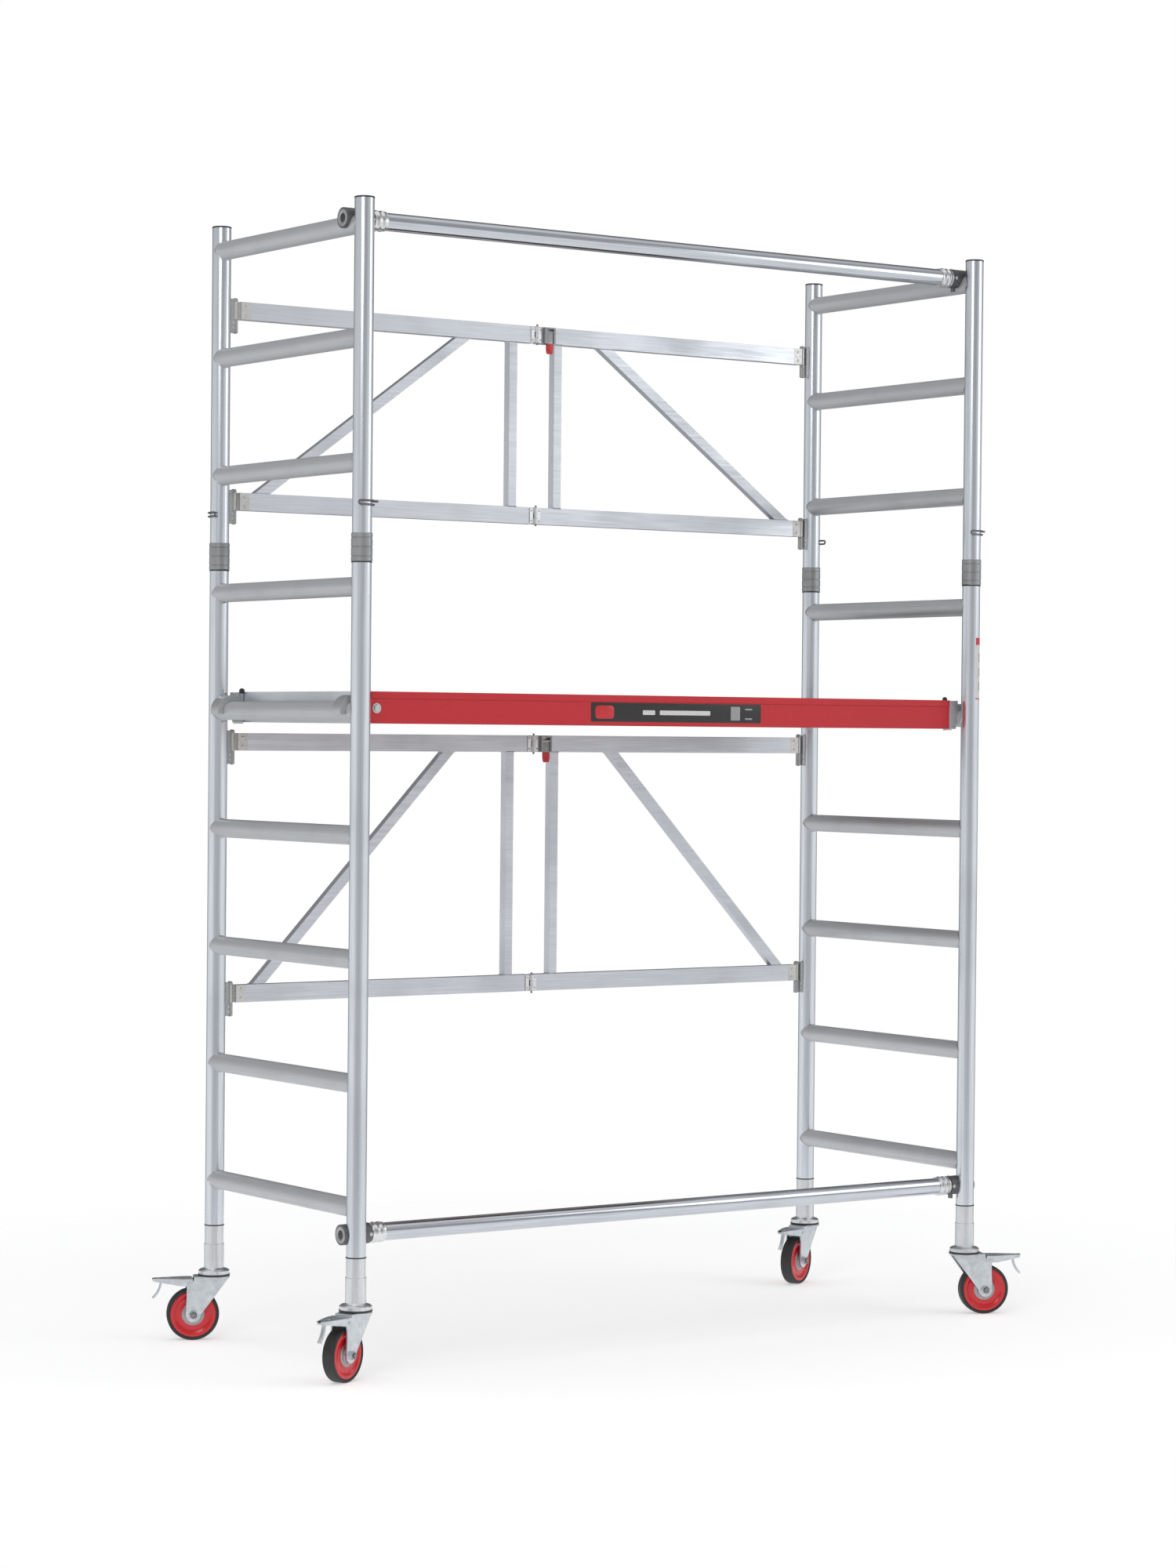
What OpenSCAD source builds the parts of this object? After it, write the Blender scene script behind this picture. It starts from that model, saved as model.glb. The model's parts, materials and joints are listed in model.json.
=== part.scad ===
// Mobile tower scaffold: two ladder sides in two storeys, folding back frames,
// clip-on front braces, a hooked-on platform with a trapdoor and four braked casters.
// +X runs along the platform, -Y is the braced front, z = 0 is the floor.

/* [Tower] */
// Distance between the two ladder planes, axis to axis
frame_length = 1800; // [1300:10:2400]
// Distance between the two uprights of a ladder, axis to axis
frame_width = 650; // [540:10:900]
// Height of the lowest rung axis above the floor
first_rung_z = 385; // [365:5:480]
// Rung spacing of the ladders
rung_pitch = 280; // [250:5:320]
// Spacing of the last rung, which closes the upper ladder
top_rung_pitch = 255; // [220:5:320]
// Length of upright above the top rung
upright_rise = 55; // [35:5:120]

/* [Tubes] */
// Outside diameter of the uprights
upright_d = 45; // [42:0.5:51]
// Wall of the uprights
upright_wall = 2; // [1.6:0.1:3]
// Outside diameter of the rungs
rung_d = 44; // [32:0.5:44]
// Wall of the rungs
rung_wall = 1.8; // [1.4:0.1:3]
// Outside diameter of the front brace tubes
brace_d = 41; // [34:0.5:46]
// Wall of the front brace tubes
brace_wall = 1.8; // [1.4:0.1:3]

/* [Storey joint] */
// Start of the joint collar above the sixth rung
collar_rise = 56; // [40:1:70]
// Height of the joint collar
collar_h = 64; // [40:1:80]
// How far the collar stands out of the upright
collar_proud = 1.8; // [1:0.1:3]
// Length of spigot inside each storey's tube
spigot_reach = 120; // [80:5:140]
// Height of the locking clip above the collar
clip_rise = 72; // [50:1:85]
// Travel of a locking clip as it is pulled out
clip_travel = 26; // [20:1:30]

/* [Back frames] */
// Height of a back frame's bars
bar_h = 42; // [30:1:50]
// Depth of a back frame's bars
bar_d = 25; // [20:1:30]
// Wall of the back frames' tubes
bar_wall = 2; // [1.5:0.1:3]
// Width of the short posts beside the middle hinge
post_w = 23; // [18:1:28]
// Distance of those posts from the middle hinge
post_x = 68; // [55:1:90]
// Width of the diagonal braces
diagonal_w = 25; // [18:1:30]
// Lower frame: lower bar above the second rung
lower_bar_rise = 162; // [100:1:220]
// Lower frame: upper bar below the platform's rung
upper_bar_drop = 74; // [70:1:160]
// Upper frame: lower bar above the storey joint
lower_rail_rise = 101; // [96:1:120]
// Upper frame: upper bar below the top rung
upper_rail_drop = 138; // [120:1:210]

/* [Front braces] */
// Height of the top brace above the top rung that its claws hook over
top_brace_rise = 14; // [8:1:20]
// Distance of the bottom brace behind the uprights that its claws grip
bottom_brace_inset = 20; // [16:1:24]
// Depth of the bottom brace below the lowest rung
bottom_brace_drop = 60; // [50:1:66]
// Outside diameter of the cast claws
claw_d = 47; // [47:0.5:52]

/* [Platform] */
// Height of the red side beams
beam_h = 72; // [60:1:90]
// Bottom of the side beams below the rung axis
beam_drop = 27; // [24:1:40]
// Thickness of the deck board
deck_t = 12; // [9:1:15]
// Depth of the deck's surface below the beam's top edge
deck_sink = 5; // [3:1:8]
// Length of the trapdoor opening
hatch_l = 620; // [500:10:680]
// Width of the trapdoor opening
hatch_w = 440; // [400:10:460]
// Distance of the trapdoor from the left end of the deck
hatch_x = 130; // [100:5:200]
// Width of each rung hook
hook_w = 36; // [30:1:45]

/* [Casters] */
// Wheel diameter
wheel_d = 125; // [100:1:150]
// Wheel width
wheel_w = 32; // [26:1:38]
// Horizontal distance from swivel axis to axle
trail = 50; // [40:1:60]
// Axle diameter
axle_d = 12; // [10:1:14]
// Clearance between the wheel's top and the fork crown
crown_gap = 24; // [18:1:32]
// Foot joint below the lowest rung, where upright ends and caster stem shows
foot_drop = 110; // [95:1:120]
// Angle that each caster is turned from the tower's length
caster_turn = 25; // [0:1:40]

/* [Hidden] */
$fn = 64;

// Clearances: between bodies that move on each other, and round a running pin
gap = 0.3;
pin_gap = 0.05;

// Where each corner stands and how its caster and clip are turned
FL = [-1, -1];
FR = [1, -1];
BL = [-1, 1];
BR = [1, 1];
CORNERS = [FL, FR, BL, BR];
function corner_x(c) = c[0] * frame_length / 2;
function corner_y(c) = c[1] * frame_width / 2;
function caster_angle(c) = c == FL ? 180 + caster_turn : c == FR ? -caster_turn
    : c == BL ? 180 - caster_turn : 180 + caster_turn;
function clip_angle(c) = c[1] < 0 ? 0 : 90;

// Tower heights
LOWER_RUNGS = 6;
UPPER_RUNGS = 3;
PLATFORM_RUNG = 4;
function lower_rung_z(i) = first_rung_z + i * rung_pitch;
sixth_rung_z = lower_rung_z(LOWER_RUNGS - 1);
platform_z = lower_rung_z(PLATFORM_RUNG);
top_rung_z = sixth_rung_z + 2 * rung_pitch + top_rung_pitch;
function upper_rung_z(i) = i < UPPER_RUNGS - 1 ? sixth_rung_z + (i + 1) * rung_pitch : top_rung_z;
foot_z = first_rung_z - foot_drop;
collar_z = sixth_rung_z + collar_rise;
joint_z = collar_z + collar_h;
clip_z = joint_z + clip_rise;
upright_top_z = top_rung_z + upright_rise;
upright_r = upright_d / 2;
bore_r = upright_r - upright_wall;
spigot_r = bore_r - 0.2;
spigot_wall = 2.5;
stem_reach = 90;
lock_hole_r = 4;
lock_hole_rise = 30;
clip_pin_r = 4;
cap_t = 4;

// Back frame lines
gate_y = frame_width / 2;
hinge_reach = 15.5;
hinge_x = frame_length / 2 - upright_r - hinge_reach;
knuckle_r = 6.5;
hinge_pin_r = 4;
block_l = 26;
block_gap = 10;
block_web = 8;
bracket_w = 18;
bracket_web = 10;
bracket_x = 8;
bar_end_x = hinge_x - block_gap;
bar_mid_x = 6;
bracket_up = 27;
bracket_down = 53;
lower_bar_z = lower_rung_z(1) + lower_bar_rise;
upper_bar_z = platform_z - upper_bar_drop;
lower_rail_z = joint_z + lower_rail_rise;
upper_rail_z = top_rung_z - upper_rail_drop;
GATE_BARS = [lower_bar_z, upper_bar_z, lower_rail_z, upper_rail_z];
diagonal_foot_inset = 110;
diagonal_foot = frame_length / 2 - diagonal_foot_inset;
lower_diagonal_head = 250;
upper_diagonal_head = 215;
mid_pin_out = 4;
mid_pin_y = gate_y - bar_d / 2 - mid_pin_out;
mid_knuckle_r = 4.5;
mid_pin_r = 2.5;
mid_leaf_l = 16;
mid_leaf_t = 2.5;
latch_x = 36;
latch_w = 21;
latch_t = 5;
latch_pivot_rise = 8;
latch_drop = 55;
latch_pin_r = 2;
cheek_t = 5;
cheek_d = 11;
latch_out = 7;
latch_y = gate_y - bar_d / 2 - latch_out;

// Front braces and claws
claw_clearance = 0.5;
top_brace_y = -frame_width / 2 + upright_r + claw_d / 2 + claw_clearance;
bottom_brace_y = -frame_width / 2 + bottom_brace_inset;
top_brace_z = top_rung_z + top_brace_rise;
bottom_brace_z = first_rung_z - bottom_brace_drop;
claw_out = 29;
claw_in = 42;
crimp_in = 80;
plug_l = 30;
catch_x = 31;
catch_t = 5;
catch_w = 12;
catch_pin_r = 2;
catch_pin_drop = 12;
catch_reach = 21;

// Platform
beam_inset = 28;
beam_y = frame_width / 2 - beam_inset;
beam_top_z = platform_z - beam_drop + beam_h;
beam_bottom_z = platform_z - beam_drop;
beam_end_gap = 44;
rail_inset = 30.5;
rail_t = 19.5;
beam_end_x = frame_length / 2 - beam_end_gap;
rail_out_x = frame_length / 2 - rail_inset;
rail_in_x = rail_out_x - rail_t;
beam_wall = 3;
beam_flange = 24;
beam_lip = 1.5;
beam_lip_h = 15;
deck_z = beam_top_z - deck_sink;
deck_play = 0.5;
deck_edge_y = beam_y - beam_wall - deck_play;
deck_end_x = rail_in_x - gap;
hatch_left_x = -deck_end_x + hatch_x;
hatch_play = 4;
hatch_finger_r = 14;
hatch_hinge_r = 5;
hatch_pin_r = 2.5;
hatch_hinge_y = hatch_w / 2 + 8;
hatch_hinge_rise = 3;
hatch_hinge_z = deck_z + hatch_hinge_rise;
hatch_hinge_l = 70;
leaf_l = 28;
hatch_hinge_inset = 90;
HATCH_HINGES = [hatch_left_x + hatch_hinge_inset, hatch_left_x + hatch_l - hatch_hinge_inset];
member_w = 30;
member_h = 26;
member_gap = 12;
finger_inset = 45;
strap_l = 34;
strap_t = 2;
hook_t = 14;
hook_y = beam_y - hook_w / 2;
hook_inner_r = rung_d / 2 + 0.4;
wind_lock_t = 5;
wind_lock_w = 6;
wind_pin_r = 2.5;
wind_pin_out = 4.3;
wind_pin_x = rung_d / 2 + wind_pin_out;
wind_pin_z = 5;
wind_knob_r = 4.5;
wind_under = 2.5;
wind_toe = 4;
wind_lock_up = 47;

// Casters, measured from the swivel axis and the floor
wheel_r = wheel_d / 2;
crown_t = 4;
crown_z = wheel_d + crown_gap;
fork_top_z = crown_z + crown_t;
leg_t = 4;
leg_in_y = wheel_w / 2 + 3;
leg_out_y = leg_in_y + leg_t;
leg_r = 18;
rim_r = wheel_r - 7;
axle_r = axle_d / 2;
kingpin_r = 6;
seal_h = 4.7;
flange_r = 37;
sleeve_r = upright_r + 1.5;
sleeve_h = 57;
pedal_pin_r = 3;
pedal_pin_x = trail + 12;
pedal_pin_z = crown_z - 12;
pedal_top_z = crown_z - 0.5;
pedal_skirt_h = 17;
pedal_t = 2.5;
pedal_tip_x = trail + 85;
pedal_tip_r = 11;
pedal_y = leg_out_y + 0.6 + pedal_t;

// A round tube along +Z
module tube(r, wall, length) {
    difference() {
        cylinder(r = r, h = length);
        translate([0, 0, -1]) cylinder(r = r - wall, h = length + 2);
    }
}

// A cylinder along X between two stations
module bar_x(x0, x1, r) {
    translate([x0, 0, 0]) rotate([0, 90, 0]) cylinder(r = r, h = x1 - x0);
}

// A cylinder along Y, centred
module bar_y(half, r) {
    translate([0, half, 0]) rotate([90, 0, 0]) cylinder(r = r, h = 2 * half);
}

// A plate that stands in XZ, centred on y = 0
module plate_xz(t) {
    translate([0, t / 2, 0]) rotate([90, 0, 0]) linear_extrude(t) children();
}

// ---- Ladder sides -------------------------------------------------------------

// The two uprights of one ladder in one storey
module uprights(side, z0, z1) {
    for (end = [-1, 1]) {
        corner = [side, end];
        difference() {
            translate([corner_x(corner), corner_y(corner), z0]) tube(upright_r, upright_wall, z1 - z0);
            for (z = [foot_z + lock_hole_rise, joint_z + lock_hole_rise])
                translate([corner_x(corner), corner_y(corner), z]) rotate([0, 90, clip_angle(corner)])
                    cylinder(r = lock_hole_r, h = upright_d);
            translate([corner_x(corner), corner_y(corner), clip_z]) rotate([0, 90, clip_angle(corner)])
                cylinder(r = clip_pin_r + pin_gap, h = upright_d);
        }
    }
}

// One rung, coped to both uprights
module rung(side, z) {
    x = side * frame_length / 2;
    difference() {
        translate([x, 0, z]) bar_y(frame_width / 2, rung_d / 2);
        translate([x, 0, z]) bar_y(frame_width / 2 + 1, rung_d / 2 - rung_wall);
        for (end = [-1, 1])
            translate([x, end * frame_width / 2, z - rung_d]) cylinder(r = upright_r, h = 2 * rung_d);
    }
}

module lower_rungs(side) {
    color("darkgray") for (i = [0 : LOWER_RUNGS - 1]) rung(side, lower_rung_z(i));
}

module upper_rungs(side) {
    color("darkgray") for (i = [0 : UPPER_RUNGS - 1]) rung(side, upper_rung_z(i));
}

// Inner tubes that carry the upper storey
module spigots() {
    color("silver") for (c = CORNERS)
        difference() {
            translate([corner_x(c), corner_y(c), collar_z - spigot_reach])
                tube(spigot_r, spigot_wall, collar_h + 2 * spigot_reach);
            translate([corner_x(c), corner_y(c), clip_z]) rotate([0, 90, clip_angle(c)])
                cylinder(r = clip_pin_r + pin_gap, h = upright_d);
        }
}

// Collars that the upper uprights stand on
module joint_collars() {
    color("gray") for (c = CORNERS)
        translate([corner_x(c), corner_y(c), collar_z])
            tube(upright_r + collar_proud, upright_r + collar_proud - spigot_r - 0.1, collar_h);
}

module top_caps() {
    color("black") for (c = CORNERS)
        translate([corner_x(c), corner_y(c), upright_top_z]) {
            cylinder(r = upright_r + 0.7, h = cap_t);
            translate([0, 0, -18]) cylinder(r = bore_r - 0.1, h = 18);
        }
}

// A sprung locking pin with its half ring and finger tail
module lock_clip(c) {
    ring_r = upright_r + 4;
    wire_r = 2;
    clip_arc = 116;
    tail_l = 14;
    color("dimgray") translate([corner_x(c), corner_y(c), clip_z]) rotate([0, 0, clip_angle(c)]) {
        bar_x(spigot_r - 8, ring_r, clip_pin_r);
        rotate([0, 0, -clip_arc / 2]) rotate_extrude(angle = clip_arc)
            translate([ring_r, 0]) circle(r = wire_r, $fn = 24);
        bar_x(ring_r - 1, ring_r + tail_l, wire_r);
        translate([ring_r + tail_l, 0, 0]) sphere(r = 3.2, $fn = 24);
    }
}

// ---- Folding back frames --------------------------------------------------------

// A rectangular tube along X between two stations
module bar_tube(x0, x1, z) {
    difference() {
        translate([x0, gate_y - bar_d / 2, z - bar_h / 2]) cube([x1 - x0, bar_d, bar_h]);
        translate([x0 - 1, gate_y - bar_d / 2 + bar_wall, z - bar_h / 2 + bar_wall])
            cube([x1 - x0 + 2, bar_d - 2 * bar_wall, bar_h - 2 * bar_wall]);
    }
}

// One half of a back frame: two bars, a post and a diagonal, welded at their ends
module gate(side, z0, z1, head) {
    low = z0 + bar_h / 2;
    high = z1 - bar_h / 2;
    half = diagonal_w / 2;
    lean = atan2(high - low, diagonal_foot - head);
    slice = half / sin(lean);
    color("silver") mirror([side < 0 ? 1 : 0, 0, 0]) {
        for (z = [z0, z1]) bar_tube(bar_mid_x, bar_end_x - block_l, z);
        difference() {
            translate([post_x - post_w / 2, gate_y - post_w / 2, low]) cube([post_w, post_w, high - low]);
            translate([post_x - post_w / 2 + bar_wall, gate_y - post_w / 2 + bar_wall, low - 1])
                cube([post_w - 2 * bar_wall, post_w - 2 * bar_wall, high - low + 2]);
        }
        translate([0, gate_y, 0]) plate_xz(diagonal_w * 0.8)
            polygon([[diagonal_foot - slice, low], [diagonal_foot + slice, low],
                [head + slice, high], [head - slice, high]]);
    }
}

// Solid blocks in the bars' outer ends, each with the knuckle of its hinge
module gate_end_blocks() {
    color("lightgray") for (side = [-1, 1], z = GATE_BARS)
        mirror([side < 0 ? 1 : 0, 0, 0]) difference() {
            union() {
                translate([bar_end_x - block_l, gate_y - bar_d / 2, z - bar_h / 2])
                    cube([block_l, bar_d, bar_h]);
                translate([bar_end_x - 1, gate_y - block_web / 2, z - bar_h / 2])
                    cube([block_gap + 1, block_web, bar_h]);
                translate([hinge_x, gate_y, z - bar_h / 2]) cylinder(r = knuckle_r, h = bar_h);
            }
            translate([hinge_x, gate_y, z - bar_h]) cylinder(r = hinge_pin_r + pin_gap, h = 2 * bar_h);
        }
}

// Plates on the back uprights with a knuckle above and below each block
module hinge_brackets() {
    span = bracket_down + bracket_up;
    color("gray") for (side = [-1, 1], z = GATE_BARS)
        mirror([side < 0 ? 1 : 0, 0, 0]) difference() {
            union() {
                translate([hinge_x + bracket_x, gate_y - bracket_w / 2, z - bracket_down])
                    cube([frame_length / 2 - hinge_x - bracket_x, bracket_w, span]);
                for (part = [[z - bracket_down, z - bar_h / 2 - gap],
                        [z + bar_h / 2 + gap, z + bracket_up]]) {
                    translate([hinge_x, gate_y - bracket_web / 2, part[0]])
                        cube([bracket_x + 4, bracket_web, part[1] - part[0]]);
                    translate([hinge_x, gate_y, part[0]]) cylinder(r = knuckle_r, h = part[1] - part[0]);
                }
            }
            translate([hinge_x, gate_y, z - bracket_down - 1])
                cylinder(r = hinge_pin_r + pin_gap, h = span + 2);
            translate([frame_length / 2, gate_y, z - bracket_down - 1])
                cylinder(r = upright_r, h = span + 2);
        }
}

// Pins of the end hinges and of the middle hinges
module hinge_pins() {
    color("dimgray") for (z = GATE_BARS) {
        for (side = [-1, 1])
            translate([side * hinge_x, gate_y, z - bracket_down - 1.5]) {
                cylinder(r = hinge_pin_r, h = bracket_down + bracket_up + 3);
                translate([0, 0, bracket_down + bracket_up + 1.8]) cylinder(r = hinge_pin_r + 1.2, h = 2);
            }
        translate([0, mid_pin_y, z - bar_h / 2 - 5]) cylinder(r = mid_pin_r, h = bar_h + 10);
    }
}

// Two leaves with their knuckles at each middle hinge
module mid_hinge_leaves() {
    knuckle_h = bar_h / 3;
    low = gap / 2 - knuckle_h / 2;
    color("whitesmoke") for (z = GATE_BARS, side = [-1, 1])
        mirror([side < 0 ? 1 : 0, 0, 0]) difference() {
            union() {
                translate([bar_mid_x, gate_y - bar_d / 2 - mid_leaf_t, z - bar_h / 2 + 2])
                    cube([mid_leaf_l - bar_mid_x, mid_leaf_t, bar_h - 4]);
                for (k = side < 0 ? [-1, 1] : [0]) {
                    translate([0, mid_pin_y, z + k * knuckle_h + low])
                        cylinder(r = mid_knuckle_r, h = knuckle_h - gap);
                    translate([0, gate_y - bar_d / 2 - mid_leaf_t, z + k * knuckle_h + low])
                        cube([bar_mid_x + 1, mid_leaf_t, knuckle_h - gap]);
                }
            }
            translate([0, mid_pin_y, z - bar_h]) cylinder(r = mid_pin_r + pin_gap, h = 2 * bar_h);
        }
}

// Cheeks that hold the fold latches beside the upper middle hinges
module latch_housings() {
    face_y = gate_y - bar_d / 2;
    cheek_x = latch_w / 2 + gap;
    color("gray") for (z = [upper_bar_z, upper_rail_z]) difference() {
        union() {
            for (x = [-cheek_x - cheek_t, cheek_x])
                translate([latch_x + x, face_y - cheek_d, z - bar_h / 2 + 1])
                    cube([cheek_t, cheek_d, bar_h - 2]);
            translate([latch_x - cheek_x - 1, face_y - cheek_d, z + bar_h / 2 - 5])
                cube([2 * cheek_x + 2, cheek_d, 4]);
        }
        translate([latch_x, latch_y, z + latch_pivot_rise])
            bar_x(-latch_w, latch_w, latch_pin_r + pin_gap);
    }
}

// Red latch tab that hangs on its own cross pin and is flipped out to fold the frame
module fold_latch(z) {
    color("firebrick") translate([latch_x, latch_y, z + latch_pivot_rise]) {
        bar_x(-latch_w / 2 - cheek_t, latch_w / 2 + cheek_t, latch_pin_r);
        bar_x(-latch_w / 2, latch_w / 2, latch_t / 2 + 1);
        translate([-latch_w / 2, -latch_t / 2, -latch_drop]) cube([latch_w, latch_t, latch_drop]);
    }
}

// ---- Front braces ------------------------------------------------------------------

module brace_tubes() {
    length = frame_length - 2 * crimp_in;
    color("gainsboro") for (line = [[top_brace_y, top_brace_z], [bottom_brace_y, bottom_brace_z]])
        translate([-length / 2, line[0], line[1]]) rotate([0, 90, 0]) tube(brace_d / 2, brace_wall, length);
}

// Cast claw round the brace axis: a groove for what it grips and a plug for the tube
module claw(y, z) {
    slot_w = catch_t + 2 * gap;
    for (side = [-1, 1])
        mirror([side < 0 ? 1 : 0, 0, 0]) translate([frame_length / 2, y, z]) {
            difference() {
                union() {
                    bar_x(-claw_in, claw_out, claw_d / 2);
                    bar_x(-crimp_in, -claw_in, brace_d / 2 + 1);
                    bar_x(-crimp_in - plug_l, -crimp_in, brace_d / 2 - brace_wall);
                }
                children();
                translate([-catch_x - slot_w / 2, -catch_w / 2 - 8, -claw_d])
                    cube([slot_w, catch_w + 16, claw_d - 3]);
            }
            translate([0, 0, -catch_pin_drop])
                bar_x(-catch_x - slot_w / 2 - 2, -catch_x + slot_w / 2 + 2, catch_pin_r);
        }
}

// The top claws hook over the top rungs, the bottom claws grip the uprights from behind
module brace_claws() {
    rung_seat = rung_d / 2 + 0.1;
    upright_seat = upright_r + 0.1;
    color("gray") {
        claw(top_brace_y, top_brace_z) {
            translate([0, 0, -top_brace_rise]) bar_y(claw_d, rung_seat);
            translate([-rung_seat, -claw_d, -top_brace_rise - claw_d])
                cube([2 * rung_seat, 2 * claw_d, claw_d]);
        }
        claw(bottom_brace_y, bottom_brace_z) {
            translate([0, -bottom_brace_inset, -claw_d]) cylinder(r = upright_seat, h = 2 * claw_d);
            translate([-upright_seat, -bottom_brace_inset - claw_d, -claw_d])
                cube([2 * upright_seat, claw_d, 2 * claw_d]);
        }
    }
}

// Trigger that hangs in the claw's slot
module claw_catch(side, y, z) {
    color("dimgray") translate([side * (frame_length / 2 - catch_x), y, z - catch_pin_drop])
        rotate([0, 0, 90]) difference() {
            plate_xz(catch_t) {
                circle(r = catch_w / 2);
                translate([-catch_w / 2, -catch_reach]) square([catch_w, catch_reach]);
            }
            bar_y(catch_t, catch_pin_r + pin_gap);
        }
}

// ---- Platform ------------------------------------------------------------------------

// Folded red side beam with a proud lip, a deck ledge and a bottom flange
module side_beams() {
    ledge_z = beam_h - deck_sink - deck_t;
    color("firebrick") for (side = [-1, 1])
        mirror([0, side < 0 ? 0 : 1, 0]) translate([-beam_end_x, -beam_y, beam_bottom_z])
            rotate([90, 0, 90]) linear_extrude(2 * beam_end_x)
                polygon([[0, 0], [beam_flange, 0], [beam_flange, beam_wall], [beam_wall, beam_wall],
                    [beam_wall, ledge_z - beam_wall], [beam_flange, ledge_z - beam_wall],
                    [beam_flange, ledge_z], [beam_wall, ledge_z], [beam_wall, beam_h], [-beam_lip, beam_h],
                    [-beam_lip, beam_h - beam_lip_h], [0, beam_h - beam_lip_h - beam_lip]]);
}

// Box rails across the ends, each stopping short of the wind lock that swings beside it
module end_rails() {
    plain_end = beam_y - hook_w - gap;
    lock_end = plain_end - wind_lock_t - 2 * gap;
    length = plain_end + lock_end;
    color("gray") for (side = [-1, 1])
        mirror([side < 0 ? 1 : 0, 0, 0])
            translate([rail_in_x, side < 0 ? -plain_end : -lock_end, beam_bottom_z]) difference() {
                cube([rail_t, length, beam_h]);
                translate([bar_wall, -1, bar_wall])
                    cube([rail_t - 2 * bar_wall, length + 2, beam_h - 2 * bar_wall]);
            }
}

// Cast corner that closes the beam's end and hooks over the rung
module rung_hook(side, end, has_lock) {
    outer_r = hook_inner_r + hook_t;
    top = beam_top_z - platform_z - 1;
    tip_drop = -8;
    hook_in = frame_length / 2 - beam_end_x;
    pin_l = wind_lock_t + gap;
    translate([side * frame_length / 2, end * hook_y, platform_z])
        mirror([side < 0 ? 1 : 0, 0, 0]) mirror([0, end > 0 ? 1 : 0, 0]) {
            plate_xz(hook_w) difference() {
                union() {
                    intersection() {
                        circle(r = outer_r);
                        translate([-outer_r, tip_drop]) square([2 * outer_r, top - tip_drop]);
                    }
                    translate([-hook_in, -beam_drop]) square([hook_in - hook_inner_r + 6, beam_h - 1]);
                }
                circle(r = hook_inner_r);
                translate([-hook_inner_r, -outer_r - beam_drop])
                    square([2 * hook_inner_r, outer_r + beam_drop]);
            }
            if (has_lock) translate([-wind_pin_x, hook_w / 2, wind_pin_z]) rotate([-90, 0, 0]) {
                cylinder(r = wind_pin_r, h = pin_l + 2);
                translate([0, 0, pin_l + gap]) cylinder(r = wind_pin_r + 1.5, h = 2);
            }
        }
}

module rung_hooks() {
    color("silver") for (side = [-1, 1], end = [-1, 1]) rung_hook(side, end, side != end);
}

// Swinging catch that closes under the rung so wind can't lift the platform
module wind_lock(side) {
    end = -side;
    lock_y = end * (hook_y - hook_w / 2 - gap - wind_lock_t / 2);
    half = wind_lock_w / 2;
    bottom = -rung_d / 2 - wind_under - wind_lock_w;
    color("lightgray") translate([side * frame_length / 2, lock_y, platform_z])
        mirror([side < 0 ? 1 : 0, 0, 0]) difference() {
            union() {
                plate_xz(wind_lock_t) {
                    translate([-wind_pin_x - half, bottom]) square([wind_lock_w, wind_lock_up - bottom]);
                    translate([-wind_pin_x - half, bottom])
                        square([wind_pin_x + half - wind_toe, wind_lock_w]);
                }
                translate([-wind_pin_x, 0, wind_lock_up]) bar_y(wind_lock_t / 2, wind_knob_r);
            }
            translate([-wind_pin_x, 0, wind_pin_z]) bar_y(wind_lock_t, wind_pin_r + pin_gap);
        }
}

module cross_members() {
    half = beam_y - beam_flange - deck_play;
    hatch_right_x = hatch_left_x + hatch_l;
    stations = [hatch_left_x - member_w / 2 - member_gap, hatch_right_x + member_w / 2 + member_gap,
        (hatch_right_x + deck_end_x) / 2 + 20];
    color("gray") for (x = stations) translate([x - member_w / 2, -half, deck_z - deck_t - member_h])
        difference() {
            cube([member_w, 2 * half, member_h]);
            translate([bar_wall, -1, bar_wall])
                cube([member_w - 2 * bar_wall, 2 * half + 2, member_h - 2 * bar_wall]);
        }
}

// Board with the trapdoor's opening and a pocket for each hinge
module deck_board() {
    color("saddlebrown") difference() {
        translate([-deck_end_x, -deck_edge_y, deck_z - deck_t])
            cube([2 * deck_end_x, 2 * deck_edge_y, deck_t]);
        translate([hatch_left_x, -hatch_w / 2, deck_z - 2 * deck_t]) cube([hatch_l, hatch_w, 3 * deck_t]);
        for (x = HATCH_HINGES)
            translate([x - hatch_hinge_l / 2 - 1, hatch_w / 2 - 1, deck_z - strap_t - gap])
                cube([hatch_hinge_l + 2, hatch_hinge_y + leaf_l + 2 - hatch_w / 2, deck_t]);
    }
}

// Trapdoor with its finger hole and the leaves that turn on the hinge pins
module hatch_board() {
    color("peru") {
        difference() {
            translate([hatch_left_x + hatch_play, -hatch_w / 2 + hatch_play, deck_z - deck_t])
                cube([hatch_l - 2 * hatch_play, hatch_w - 2 * hatch_play, deck_t]);
            translate([hatch_left_x + hatch_l / 2, -hatch_w / 2 + finger_inset, deck_z - 2 * deck_t])
                cylinder(r = hatch_finger_r, h = 3 * deck_t);
        }
        for (x = HATCH_HINGES)
            difference() {
                union() {
                    translate([x - hatch_hinge_l / 6, hatch_w / 2 - strap_l, deck_z])
                        cube([hatch_hinge_l / 3, strap_l + hatch_hinge_y - hatch_w / 2, strap_t]);
                    translate([x, hatch_hinge_y, hatch_hinge_z])
                        bar_x(-hatch_hinge_l / 6, hatch_hinge_l / 6, hatch_hinge_r);
                }
                translate([x, hatch_hinge_y, hatch_hinge_z])
                    bar_x(-hatch_hinge_l, hatch_hinge_l, hatch_pin_r + pin_gap);
            }
    }
}

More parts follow.
